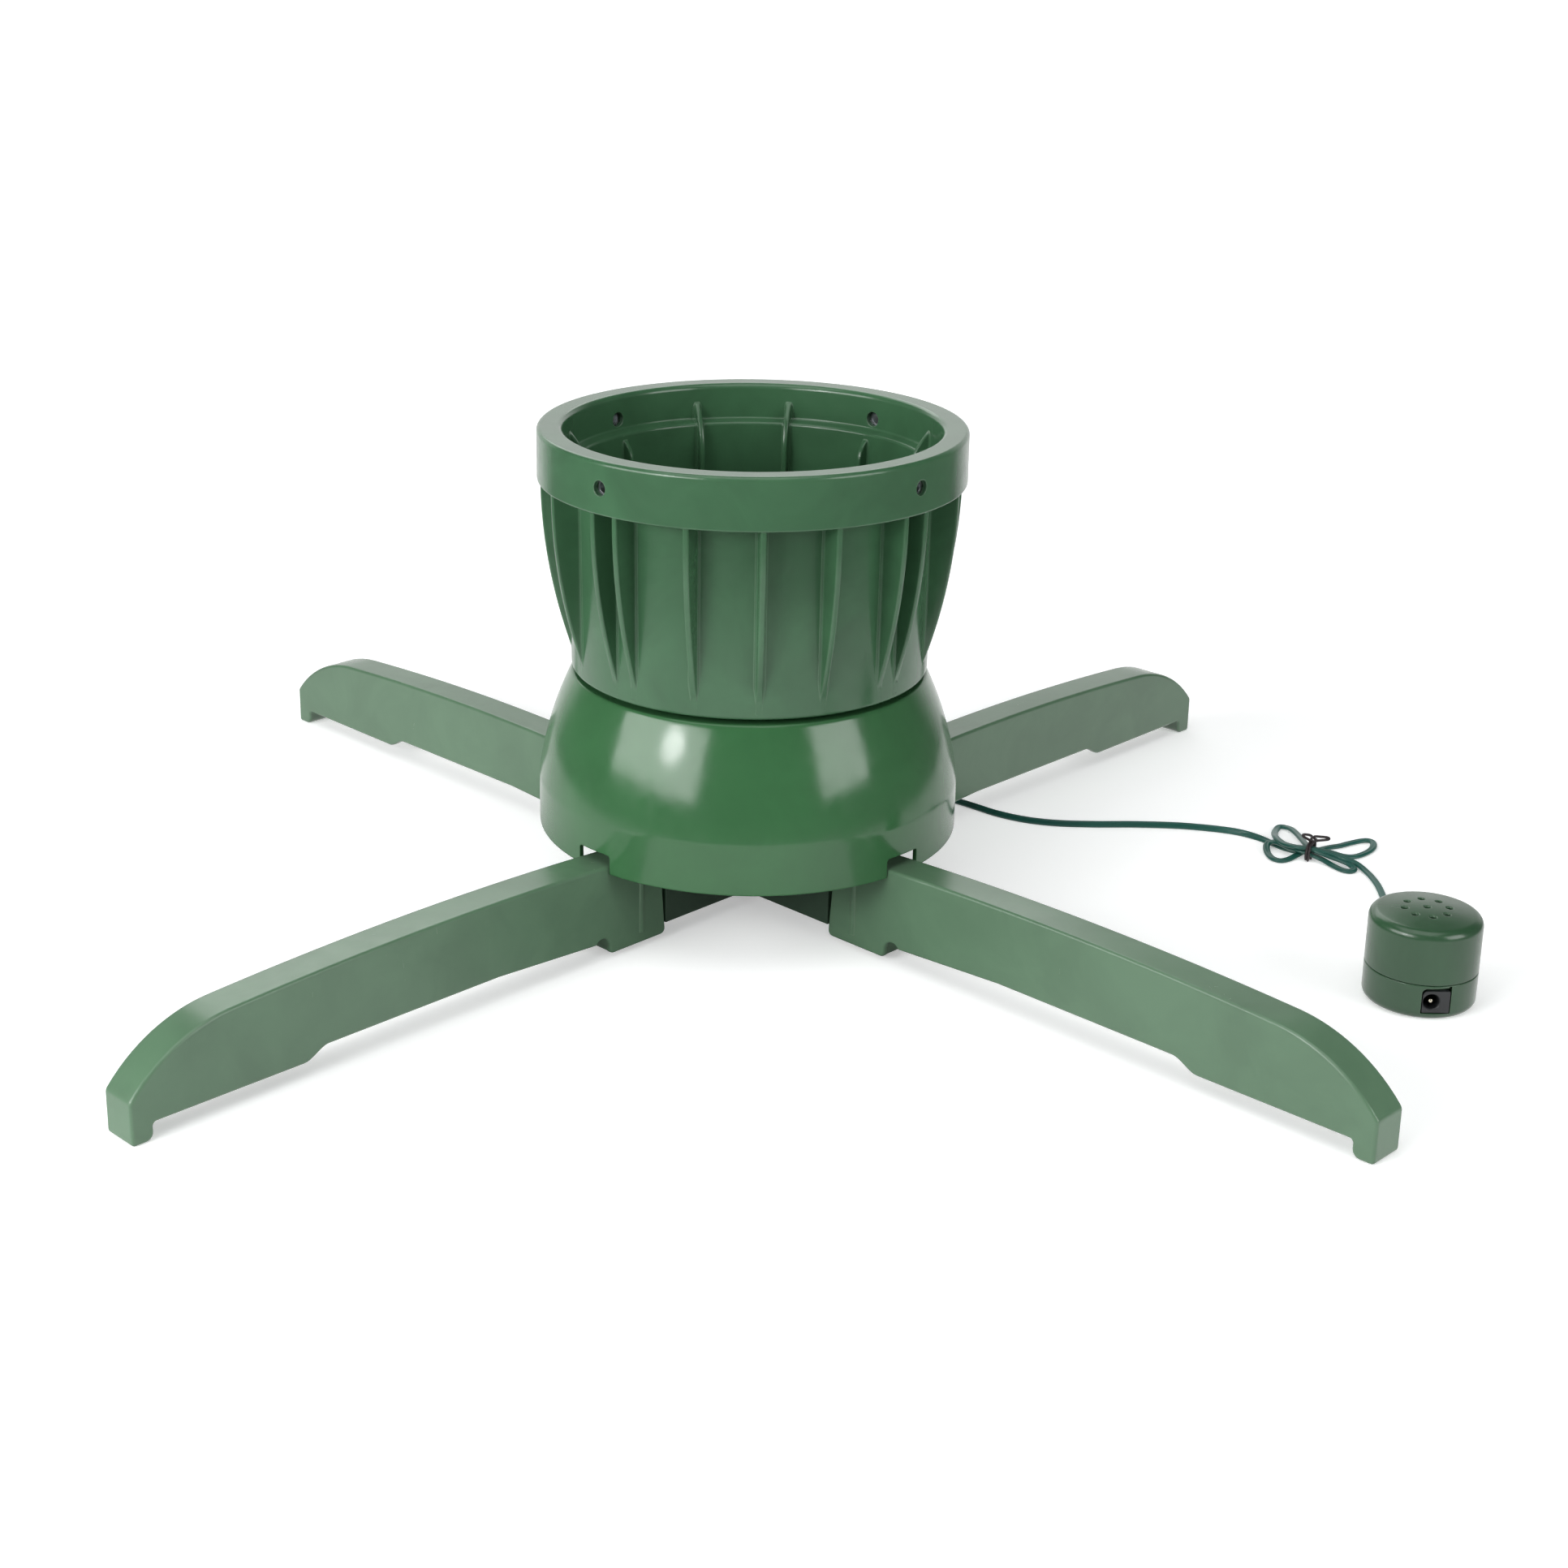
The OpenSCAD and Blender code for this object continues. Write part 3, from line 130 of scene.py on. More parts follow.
floor_half = 14.0
sheet = bpy.data.meshes.new("floor")
sheet.from_pydata([(-floor_half, -floor_half, 0), (floor_half, -floor_half, 0),
                   (floor_half, floor_half, 0), (-floor_half, floor_half, 0)], [], [(0, 1, 2, 3)])
sheet.materials.append(paint)
floor = bpy.data.objects.new("floor", sheet)
bpy.context.scene.collection.objects.link(floor)

# Each lamp: direction from the front towards +X, height angle, distance, width, height, power. All aim
# at the middle of the object, aim_z above the floor.
aim_z = 0.12
lamps = {
    "left window": (-54, 17.5, 1.45, 1.45, 0.70, 14.6),
    "left window's pane": (-45, 19.5, 1.38, 0.30, 0.30, 2.45),
    "right window": (54, 18, 1.45, 0.75, 0.70, 6.3),
    "overhead": (-20, 74, 2.20, 2.40, 2.00, 20.0),
    "behind": (190, 38, 2.30, 1.70, 1.20, 12.0),
}
for name, (azimuth, height, distance, wide, high, power) in lamps.items():
    a, e = math.radians(azimuth), math.radians(height)
    lamp = bpy.data.lights.new(name, "AREA")
    lamp.shape = "ELLIPSE" if "pane" in name else "RECTANGLE"
    lamp.size, lamp.size_y, lamp.energy = wide, high, power
    holder = bpy.data.objects.new(name, lamp)
    bpy.context.scene.collection.objects.link(holder)
    back = np.array([math.sin(a) * math.cos(e), -math.cos(a) * math.cos(e), math.sin(e)])
    holder.matrix_world = (Matrix.Translation(back * distance + np.array([0, 0, aim_z]))
                           @ Matrix.Rotation(a, 4, "Z") @ Matrix.Rotation(math.pi / 2 - e, 4, "X"))

# The photograph's camera: its place in metres, and its turn to the left, tilt down and roll in degrees
camera_at, camera_turn, camera_tilt, camera_roll = (-0.01357, -1.04140, 0.45595), 1.20, 18.58, 0.23
camera = bpy.data.cameras.new("camera")
camera.lens, camera.sensor_width = 58.69, 36.0
camera.shift_x, camera.shift_y = 0.0749, -0.0745
camera.clip_start, camera.clip_end = 0.05, 60.0
viewer = bpy.data.objects.new("camera", camera)
bpy.context.scene.collection.objects.link(viewer)
bpy.context.scene.camera = viewer
viewer.matrix_world = (Matrix.Translation(camera_at)
                       @ Matrix.Rotation(math.radians(camera_turn), 4, "Z")
                       @ Matrix.Rotation(math.radians(90 - camera_tilt), 4, "X")
                       @ Matrix.Rotation(math.radians(camera_roll), 4, "Z"))
bpy.context.scene.view_settings.view_transform = "Standard"


# ---- Hub ----
# One green moulding: crossed arms with a tongue for each leg, a round plate and the bearing tower.
# It is glass-filled polypropylene, moulded in a textured tool, and everything screws onto it.

def moulded(name, colour, worn, rough, ripple, clouds=0.10, grain=1.0, ior=1.58, edge=0.0007):
    """Injection-moulded plastic: flow clouds 35 mm and 9 mm across, a fine eroded grain, paler worn
    edges, hairline scuffs, and a slow ripple of the wall that bends its reflections."""
    material, tree = blank(name)
    place = add(tree, "TexCoord").outputs["Object"]
    # Clouds of pigment left by the flow, 35 mm across with 9 mm wisps in them
    cloud = add(tree, "TexNoise", {"Vector": place, "Scale": 1 / 0.035, "Detail": 4.0, "Roughness": 0.55,
                                   "Distortion": 0.6})
    deep = tuple(c * (1 - clouds) for c in linear(colour)[:3]) + (1,)
    bright = tuple(c * (1 + clouds) for c in linear(colour)[:3]) + (1,)
    spread = add(tree, "MapRange", {"Value": cloud.outputs[0], "From Min": 0.35, "From Max": 0.65})
    body = add(tree, "Mix", {0: spread.outputs[0], 6: deep, 7: bright}, data_type="RGBA")
    # Edges rubbed paler over 0.7 mm, where the rounded normal turns away from the true one
    soft = add(tree, "Bevel", {"Radius": edge}, samples=5)
    true = add(tree, "NewGeometry")
    turn = add(tree, "VectorMath", {0: soft.outputs[0], 1: true.outputs["Normal"]}, operation="DOT_PRODUCT")
    rub = add(tree, "MapRange", {"Value": turn.outputs["Value"], "From Min": 0.995, "From Max": 0.80,
                                 "To Min": 0.0, "To Max": 0.55})
    tinted = add(tree, "Mix", {0: rub.outputs[0], 6: body.outputs[2], 7: linear(worn)}, data_type="RGBA")
    # Hairline scuffs from handling: where a noise drawn out to 30 mm streaks passes its middle value,
    # kept only in patches 40 mm across
    drawn = add(tree, "Mapping", {"Vector": place, "Rotation": (0.4, 0.7, 0.5),
                                  "Scale": (1 / 0.004, 1 / 0.004, 1 / 0.030)})
    streaks = add(tree, "TexNoise", {"Vector": drawn.outputs[0], "Scale": 1.0, "Detail": 0.0})
    middle = add(tree, "Math", {0: streaks.outputs[0], 1: 0.5, 2: 0.008}, operation="COMPARE")
    patch = add(tree, "TexNoise", {"Vector": place, "Scale": 1 / 0.04, "Detail": 2.0})
    few = add(tree, "MapRange", {"Value": patch.outputs[0], "From Min": 0.60, "From Max": 0.70})
    scuff = add(tree, "Math", {0: middle.outputs[0], 1: few.outputs[0]}, operation="MULTIPLY")
    # Roughness: the tool's own finish, 6 mm smudges, scuffs a little rougher
    smudge = add(tree, "TexNoise", {"Vector": place, "Scale": 1 / 0.006, "Detail": 3.0})
    finish = add(tree, "MapRange", {"Value": smudge.outputs[0], "From Min": 0.3, "From Max": 0.7,
                                    "To Min": rough - 0.03, "To Max": rough + 0.04})
    rougher = add(tree, "Math", {0: scuff.outputs[0], 1: 0.02, 2: finish.outputs[0]},
                  operation="MULTIPLY_ADD")
    # Grain of the eroded tool, 0.5 mm here though the real one is finer, so that it can show
    pits = add(tree, "TexNoise", {"Vector": place, "Scale": 1 / 0.0005, "Detail": 2.0})
    swell = add(tree, "TexNoise", {"Vector": place, "Scale": 1 / 0.022, "Detail": 1.0})
    low = add(tree, "Bump", {"Strength": 1.0, "Distance": ripple, "Height": swell.outputs[0],
                             "Normal": soft.outputs[0]})
    high = add(tree, "Bump", {"Strength": 0.35, "Distance": 0.000012 * grain, "Height": pits.outputs[0],
                              "Normal": low.outputs[0]})
    skin = add(tree, "BsdfPrincipled", {"Base Color": tinted.outputs[2], "Roughness": rougher.outputs[0],
                                        "IOR": ior, "Normal": high.outputs[0]})
    add(tree, "OutputMaterial", {"Surface": skin.outputs[0]})
    return material


def dress(material, *names):
    """Gives CAD nodes a material in place of their plain one."""
    for name in names:
        nodes[name].data.materials.clear()
        nodes[name].data.materials.append(material)


# Textured polypropylene: a satin, slightly greyed green, painted darker to stand in for the shade under the
# hood
hub_plastic_painted_shade = moulded("polypropylene, textured green, painted shade", "#324a38", "#56705b", 0.45, 0.00010)
dress(hub_plastic_painted_shade, "base_hub")


# ---- Legs ----
# Four arched legs of polypropylene, hollow underneath with cross ribs, moulded in one piece each.
# A leg plugs over the hub's tongue up to its arm, and a ridge on each side snaps home.

def joined(*shells):
    """Several closed shells as one list of points and faces."""
    starts = np.cumsum([0] + [len(points) for points, _ in shells])
    faces = [tuple(int(i + start) for i in face) for (_, own), start in zip(shells, starts) for face in own]
    return np.vstack([points for points, _ in shells]), faces


def lofted(rings, round_trip=False):
    """Closed rings of equal size joined by four-sided faces, as a ring of rings or with flat ends."""
    count, size = rings.shape[:2]
    here = np.arange(count if round_trip else count - 1)[:, None] * size
    there = (np.arange(1, count + (1 if round_trip else 0))[:, None] % count) * size
    i = np.arange(size)[None, :]
    j = (i + 1) % size
    faces = np.stack([here + i, here + j, there + j, there + i], -1).reshape(-1, 4).tolist()
    if not round_trip:
        faces += [list(range(size))[::-1], list(range((count - 1) * size, count * size))]
    return rings.reshape(-1, 3), faces


def extruded(outlines, places, along="z"):
    """A flat closed outline, or one for each place, set at the places along an axis and joined up."""
    outlines = np.broadcast_to(outlines, (len(places), *np.shape(outlines)[-2:]))
    return lofted(np.array([np.insert(flat, "xyz".index(along), place, axis=1)
                            for flat, place in zip(outlines, places)]))


def softened(corners, radii, steps=6, closed=True):
    """A line whose corners are rounded: each is cut back by radius / tan(half its angle) along both
    sides, and an arc of that radius joins the cuts."""
    p = np.asarray(corners, float)
    r = np.broadcast_to(np.asarray(radii, float), len(p)).copy()
    before, after = np.roll(p, 1, 0), np.roll(p, -1, 0)
    if not closed:
        r[0] = r[-1] = 0
        before[0], after[-1] = 2 * p[0] - p[1], 2 * p[-1] - p[-2]
    a = before - p
    b = after - p
    a /= np.linalg.norm(a, axis=1)[:, None]
    b /= np.linalg.norm(b, axis=1)[:, None]
    half = np.arccos(np.clip((a * b).sum(1), -1, 1)) / 2
    back = r / np.tan(np.maximum(half, 1e-3))
    middle = a + b
    middle /= np.maximum(np.linalg.norm(middle, axis=1), 1e-9)[:, None]
    centre = p + middle * (r / np.maximum(np.sin(half), 1e-3))[:, None]
    u, v = p + a * back[:, None] - centre, p + b * back[:, None] - centre
    sweep = np.maximum(math.pi - 2 * half, 1e-6)[:, None]
    k = np.linspace(0, 1, steps)[None, :]
    arc = ((np.sin((1 - k) * sweep) / np.sin(sweep))[..., None] * u[:, None]
           + (np.sin(k * sweep) / np.sin(sweep))[..., None] * v[:, None])
    line = np.where((r > 0)[:, None, None], centre[:, None] + arc, p[:, None])
    keep = (r > 0)[:, None] | (np.arange(steps) == 0)[None, :]
    return line[keep]


def meshed(name, shell, merge):
    """A mesh of closed shells: points nearer than merge become one, and the normals point outward."""
    mesh = bpy.data.meshes.new(name)
    mesh.from_pydata(shell[0].tolist(), [], shell[1])
    work = bmesh.new()
    work.from_mesh(mesh)
    bmesh.ops.remove_doubles(work, verts=work.verts, dist=merge)
    bmesh.ops.recalc_face_normals(work, faces=work.faces)
    work.to_mesh(mesh)
    work.free()
    return mesh


def carved(shell, *tools):
    """The shell with the tools' volume taken away, by Blender's exact Boolean."""
    made = []
    for solid in (shell, joined(*tools)):
        made.append(bpy.data.objects.new("carving", meshed("carving", solid, 1e-6)))
        bpy.context.scene.collection.objects.link(made[-1])
    blank_piece, tool = made
    step = blank_piece.modifiers.new("cut", "BOOLEAN")
    step.operation, step.solver, step.object = "DIFFERENCE", "EXACT", tool
    result = bpy.data.meshes.new_from_object(
        blank_piece.evaluated_get(bpy.context.evaluated_depsgraph_get()))
    points = np.empty(len(result.vertices) * 3)
    result.vertices.foreach_get("co", points)
    faces = [tuple(face.vertices) for face in result.polygons]
    for thing in made:
        bpy.data.meshes.remove(thing.data)
    bpy.data.meshes.remove(result)
    return points.reshape(-1, 3), faces


def piece(name, shell, material, body, slot, *stands_for, sharp=38):
    """Makes a finished piece of closed shells, smooth up to sharp degrees, under its name, and hides the
    parts it stands for.
    """
    mesh = meshed(name, shell, 2e-6)
    mesh.shade_smooth()
    mesh.set_sharp_from_angle(angle=math.radians(sharp))
    mesh.materials.append(material)
    made = bpy.data.objects.new(name, mesh)
    bpy.context.scene.collection.objects.link(made)
    made.modifiers.new("weighted normals", "WEIGHTED_NORMAL").keep_sharp = True
    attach(made, body)
    if stands_for:
        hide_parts(*stands_for)
    return made


def towards(shell, azimuth):
    """A shell with X away from the axis, turned to a direction from the front towards +X."""
    a = math.radians(azimuth - 90)
    turn = np.array([[math.cos(a), -math.sin(a), 0], [math.sin(a), math.cos(a), 0], [0, 0, 1]])
    return shell[0] @ turn.T, shell[1]


# Each leg's direction, from the front towards +X
legs = {"front_left": -45, "front_right": 45, "back_left": -135, "back_right": 135}
leg_reach, leg_w, leg_h, leg_wall = 0.321, 0.017, 0.044, 0.0025
leg_inner, leg_edge = 0.057, 0.0013
crown_s, crown_r, shoulder_r = 0.168, 1.650, 0.064
shoulder_s = leg_reach - 0.045
tip_under, mid_under, pad_z, pad_l = 0.0065, 0.011, 0.002, 0.032
foot_l, step_s, step_l, belly_l = 0.0094, leg_reach - 0.076, 0.012, 0.060
pad_round, foot_round, toe_round, nose_round = 0.0025, 0.0034, 0.0016, 0.0030
leg_ribs, rib_t, rib_start, tongue_l = 5, 0.002, 0.012, 0.044


def leg_top(s, inset=0.0):
    """Height of a leg's top: a long crown, h - (s - middle)^2 / 2R, then a round shoulder."""
    tilt = math.asin((shoulder_s - crown_s) / crown_r)
    crown = leg_h - (s - crown_s) ** 2 / (2 * crown_r)
    cs = shoulder_s - shoulder_r * math.sin(tilt)
    cz = leg_h - (shoulder_s - crown_s) ** 2 / (2 * crown_r) - shoulder_r * math.cos(tilt)
    fall = cz + np.sqrt(np.maximum((shoulder_r - inset) ** 2 - (s - cs) ** 2, 0))
    return np.where(s < shoulder_s, crown - inset, fall)


# Side view of a leg, anticlockwise from the foot: up the tip, along the top, down and under
crown_line = np.linspace(leg_reach, leg_inner, 90)
tip_z = float(leg_top(np.array([leg_reach]))[0])
wave = np.linspace(0, 1, 13)[1:-1]
under = np.column_stack([step_s - step_l * wave,
                         tip_under + (mid_under - tip_under) * (1 - np.cos(math.pi * wave)) / 2])
arch_s, arch_r, arch_rise = leg_inner + pad_l, 0.004, 0.004
arch_turn = np.radians(np.linspace(180, 32, 14))
arch = np.column_stack([arch_s + arch_r + arch_r * np.cos(arch_turn),
                        pad_z + arch_rise + arch_r * np.sin(arch_turn)])
lower = np.vstack([
    softened([(leg_inner, leg_top(np.array([leg_inner]))[0]), (leg_inner, pad_z), (arch_s, pad_z),
              arch[0]], [0, pad_round, pad_round, 0], closed=False)[1:-1],
    arch,
    [(arch_s + belly_l, mid_under), (step_s - step_l, mid_under)],
    under[::-1],
    softened([(step_s, tip_under), (leg_reach - foot_l, tip_under + 0.0004), (leg_reach - foot_l, 0),
              (leg_reach, 0), (leg_reach, tip_z)], [0, 0.0014, foot_round, toe_round, 0], closed=False)[:-1],
])
upper = np.column_stack([crown_line, leg_top(crown_line)])
nose = softened([lower[-1], (leg_reach, tip_z), upper[1]], [0, nose_round, 0], closed=False)
leg_side = np.vstack([nose[1:-1], upper[1:-1], lower])


def inset_outline(line, inset):
    """A closed outline drawn in by inset along the mean of its neighbours' normals."""
    along = np.roll(line, -1, 0) - line
    along /= np.linalg.norm(along, axis=1)[:, None]
    normal = np.column_stack([-along[:, 1], along[:, 0]])
    before = np.roll(normal, 1, 0)
    mitre = (normal + before) / (1 + np.clip((normal * before).sum(1), -0.2, 1))[:, None]
    return line + mitre * inset


turns = np.radians(np.linspace(0, 90, 5))
across = np.concatenate([-leg_w / 2 + leg_edge * (1 - np.cos(turns)),
                         leg_w / 2 - leg_edge * (1 - np.cos(turns[::-1]))])
drawn_in = np.concatenate([leg_edge * (1 - np.sin(turns)), leg_edge * (1 - np.sin(turns[::-1]))])
leg_shell = extruded([inset_outline(leg_side, inset) for inset in drawn_in], across, "y")

# The hollow under a leg, as a comb: it runs on below the ribs and up between them
first, last = leg_inner - 0.001, leg_reach - foot_l - leg_wall
rib_foot = mid_under + 0.003
rib_span = last + leg_wall - leg_inner - tongue_l - rib_start
rib_at = leg_inner + tongue_l + rib_start + rib_span * (np.arange(leg_ribs) + 0.5) / leg_ribs
starts, ends = np.append(first, rib_at + rib_t), np.append(rib_at, last)
comb = [(first, -0.001)]
for a, b in zip(starts, ends):
    s = np.linspace(a, b, 12)
    comb += [(a, rib_foot)] * (a != first) + list(zip(s, leg_top(s, leg_wall)))
    comb += [(b, rib_foot)] * (b != last)
comb = np.array(comb + [(last, -0.001)])
half = leg_w / 2 - leg_wall
leg_shell = carved(leg_shell, extruded(comb, (-half, half), "y"))

# The web across the pad's outer end
web_t, web_h = 0.0025, 0.009
web_s, web_foot = arch_s - 0.0001, pad_z + 0.0002
web_side = softened([(arch_s - web_t, web_foot), (web_s, web_foot), (web_s, pad_z + web_h),
                     (arch_s - web_t, pad_z + web_h)], [0, 0.0024, 0, 0])
web_half = half + 0.0008
web = extruded(web_side, (-web_half, web_half), "y")

# Snap ridges, half-round, 2.6 mm wide and 0.7 mm proud, up both sides near the arm
ridge_s, ridge_half, ridge_depth, ridge_sunk, ridge_foot = 0.071, 0.0013, 0.0009, 0.0002, 0.007
ridge_top = float(leg_top(np.array([0.06]))[0]) - 0.002
ridge_round = np.radians(np.linspace(0, 180, 9))
ridges = []
for side in (-1, 1):
    loop = np.column_stack([ridge_s + ridge_half * np.cos(ridge_round),
                            side * (leg_w / 2 - ridge_sunk + ridge_depth * np.sin(ridge_round))])
    ridges.append(extruded(loop, np.linspace(ridge_foot, ridge_top, 4)))
leg_shell = joined(leg_shell, web, *ridges)

# Satin polypropylene, the tool polished lightly along the leg. Its green is paler and greyer: partly its own
# colour, partly a painted reflection of the white floor.
leg_plastic_painted_reflection = moulded("polypropylene, satin green, painted floor reflection", "#5e7e63", "#8ba58b", 0.23, 0.00012, clouds=0.07,
                      grain=0.3)
for name, azimuth in legs.items():
    piece("leg_" + name + "_moulding", towards(leg_shell, azimuth), leg_plastic_painted_reflection, "base", "leg_green",
          "leg_" + name)


# ---- Bearing and drive ----
# Hidden under the bucket: a steel spindle in two acetal bushes, a thrust race with loose balls in a
# cage, a gear screwed under the bucket, and a geared motor with its pinion.

def metal(name, colour, rough, spangle, streak=(1, 1, 1), mottle=0.12):
    """Bare or plated metal: spangle metres across in its tone, and fine lines along streak."""
    material, tree = blank(name)
    place = add(tree, "TexCoord").outputs["Object"]
    flake = add(tree, "TexVoronoi", {"Vector": place, "Scale": 1 / spangle})
    tone = add(tree, "MapRange", {"Value": flake.outputs["Distance"], "From Min": 0.0, "From Max": 0.9,
                                  "To Min": 1 - mottle, "To Max": 1.0})
    colours = add(tree, "Mix", {0: tone.outputs[0], 6: (0, 0, 0, 1), 7: linear(colour)}, data_type="RGBA")
    stretched = add(tree, "Mapping", {"Vector": place, "Scale": tuple(1 / 0.0006 * s for s in streak)})
    lines = add(tree, "TexNoise", {"Vector": stretched.outputs[0], "Scale": 1.0, "Detail": 3.0})
    finish = add(tree, "MapRange", {"Value": lines.outputs[0], "To Min": rough - 0.06,
                                    "To Max": rough + 0.10})
    soft = add(tree, "Bevel", {"Radius": 0.0003}, samples=4)
    tool_marks = add(tree, "Bump", {"Strength": 0.25, "Distance": 0.000015, "Height": lines.outputs[0],
                                    "Normal": soft.outputs[0]})
    skin = add(tree, "BsdfPrincipled", {"Base Color": colours.outputs[2], "Metallic": 1.0,
                                        "Roughness": finish.outputs[0], "Normal": tool_marks.outputs[0]})
    add(tree, "OutputMaterial", {"Surface": skin.outputs[0]})
    return material


# Zinc-plated turned steel: bluish grey, fine lines round the part
zinc = metal("steel, bright zinc plate", "#b9bec2", 0.34, 0.0022, streak=(1, 1, 6))
dress(zinc, "screw_inserts", "gear_screws", "spindle", "spindle_washer", "lock_nut", "hood_screws",
      "motor_screws", "motor_shaft", "pod_screws")
# Hardened and polished bearing steel: almost a mirror
bearing_steel = metal("steel, polished bearing", "#c9cacc", 0.14, 0.0050, mottle=0.05)
dress(bearing_steel, "upper_race", "lower_race", "bearing_balls")
# Deep-drawn galvanised sheet of the motor's can and the loudspeaker's frame
can_steel = metal("steel sheet, galvanised", "#a9adaf", 0.40, 0.0060, streak=(2, 2, 1), mottle=0.22)
dress(can_steel, "gear_motor", "speaker_basket", "speaker_magnet")
# Natural acetal: cream white, slightly waxy
acetal = moulded("acetal, natural", "#dcd8cb", "#f0ede2", 0.30, 0.00004, clouds=0.03, grain=0.5)
dress(acetal, "drive_gear", "ball_cage", "upper_bush", "lower_bush", "drive_pinion")


# ---- Hood ----
# The bell-shaped cover over the drive: polypropylene from a polished tool, so it shines. Its skirt
# has a notch for each leg, and four screws pull its inner posts down onto the hub's plate.

def revolved(profile, steps, axis_at=(0.0, 0.0)):
    """A closed (r, z) loop turned round an upright axis: x = r sin a, y = -r cos a."""
    a = np.linspace(0, 2 * math.pi, steps, endpoint=False)[:, None]
    r, z = np.asarray(profile, float).T
    return lofted(np.stack([axis_at[0] + np.sin(a) * r, axis_at[1] - np.cos(a) * r,
                            np.broadcast_to(z, (steps, len(z)))], -1), round_trip=True)


def bore(radius, start, end, height, azimuth, steps=48):
    """A round plug along a direction from the axis, to cut a hole with."""
    a = np.linspace(0, 2 * math.pi, steps, endpoint=False)
    ring = np.column_stack([radius * np.cos(a), height + radius * np.sin(a)])
    return towards(extruded(ring, (start, end), "x"), azimuth)


hood_z, hood_top, skirt_r, skirt_draft, skirt_h = 0.0385, 0.107, 0.0904, 0.0001, 0.020
corner_r, side_start, dome_top_r, hood_wall = 0.020, math.radians(8), 0.076, 0.002
deck_hole_r, notch_foot, notch_top, notch_half = 0.038, 0.030, 0.047, leg_w / 2 + 0.0006
notch_in, notch_out, grommet_in, grommet_out = 0.075, 0.110, 0.080, 0.100
grommet_hole_r, grommet_z, grommet_turn = 0.004, 0.057, 157.5
post_at, post_r, post_bore_r, plate_top, post_top = 0.070, 0.0042, 0.0015, 0.0505, 0.1055


def hood_side(inset, steps):
    """Half profile of the bell, drawn in by inset: skirt, soft corner, then an arc up to the top. The
    arc leaves the corner at side_start and ends at 2 atan(run / rise) - side_start."""
    corner = np.linspace(0, side_start, 8)
    x, z = skirt_r - corner_r * (1 - math.cos(side_start)), hood_z + skirt_h + corner_r * math.sin(side_start)
    end = 2 * math.atan((x - dome_top_r) / (hood_top - z)) - side_start
    side_r = (hood_top - z) / (math.sin(end) - math.sin(side_start))
    a = np.linspace(side_start, end, steps)[1:]
    return np.vstack([
        [(skirt_r - skirt_draft - inset, hood_z)],
        np.column_stack([skirt_r - corner_r + (corner_r - inset) * np.cos(corner),
                         hood_z + skirt_h + (corner_r - inset) * np.sin(corner)]),
        np.column_stack([x - side_r * math.cos(side_start) + (side_r - inset) * np.cos(a),
                         z - side_r * math.sin(side_start) + (side_r - inset) * np.sin(a)])])


outside = hood_side(0, 40)
inside = hood_side(hood_wall, 40)
inside = inside[inside[:, 1] < hood_top - hood_wall - 0.0005]
rim = softened([outside[-2], (dome_top_r - 0.0002, hood_top), (deck_hole_r, hood_top),
                (deck_hole_r, hood_top - hood_wall), (dome_top_r - hood_wall, hood_top - hood_wall),
                inside[-1]], [0, 0.0012, 0.0006, 0.0006, 0.001, 0], closed=False)
foot = softened([inside[1], inside[0], outside[0], outside[1]], [0, 0.0005, 0.0007, 0], closed=False)
bell = revolved(np.vstack([outside[1:-1], rim[1:-1], inside[:0:-1], foot[1:-1]]), 288)
notch = softened([(-notch_half, notch_foot), (notch_half, notch_foot), (notch_half, notch_top),
                  (-notch_half, notch_top)], [0, 0, 0.0014, 0.0014])
notch_tool = extruded(notch, (notch_in, notch_out), "x")
bell = carved(bell, *[towards(notch_tool, azimuth) for azimuth in legs.values()])
bell = carved(bell, bore(grommet_hole_r, grommet_in, grommet_out, grommet_z, grommet_turn))
post = softened([(post_bore_r, plate_top), (post_r, plate_top), (post_r, post_top), (post_bore_r, post_top)],
                [0.0003, 0.0005, 0.0002, 0.0002])
posts = [revolved(post, 36, (post_at * math.sin(a), -post_at * math.cos(a)))
         for a in np.radians([0, 90, 180, 270])]

# Gloss polypropylene from a polished tool: deep green, with soft window reflections
hood_plastic = moulded("polypropylene, polished green", "#3b6b43", "#5d8663", 0.15, 0.00016, clouds=0.06,
                       grain=0.5)
piece("hood_moulding", joined(bell, *posts), hood_plastic, "base", "hood_green", "hood")


# ---- Bucket ----
# The part that turns: one polypropylene moulding with a deep rim band, a ledge inside it, curved fins
# outside that run under the band, and vanes inside that centre the trunk.

bucket_z, rim_z, rim_r, base_r, wall_top_r = 0.109, 0.213, 0.090, 0.076, 0.077
bucket_wall, band_wall, rim_w, band_h, floor_t = 0.0025, 0.0025, 0.011, 0.022, 0.003
ledge_drop, ledge_h, rim_round, lip_round = 0.0155, 0.0012, 0.0018, 0.0024
gear_boss_z, gear_boss_r = 0.104, 0.036
screw_turn, screw_hole_r, screw_in, screw_out = 47.5, 0.0032, 0.072, 0.098
lip_r, band_z, ledge_z, floor_z = rim_r - rim_w, rim_z - band_h, rim_z - ledge_drop, bucket_z + floor_t
inner_base_r, inner_top_r, channel_wall_r = base_r - bucket_wall, wall_top_r - bucket_wall, lip_r + band_wall
screw_z, channel_z = band_z + band_h / 2, ledge_z - ledge_h - bucket_wall
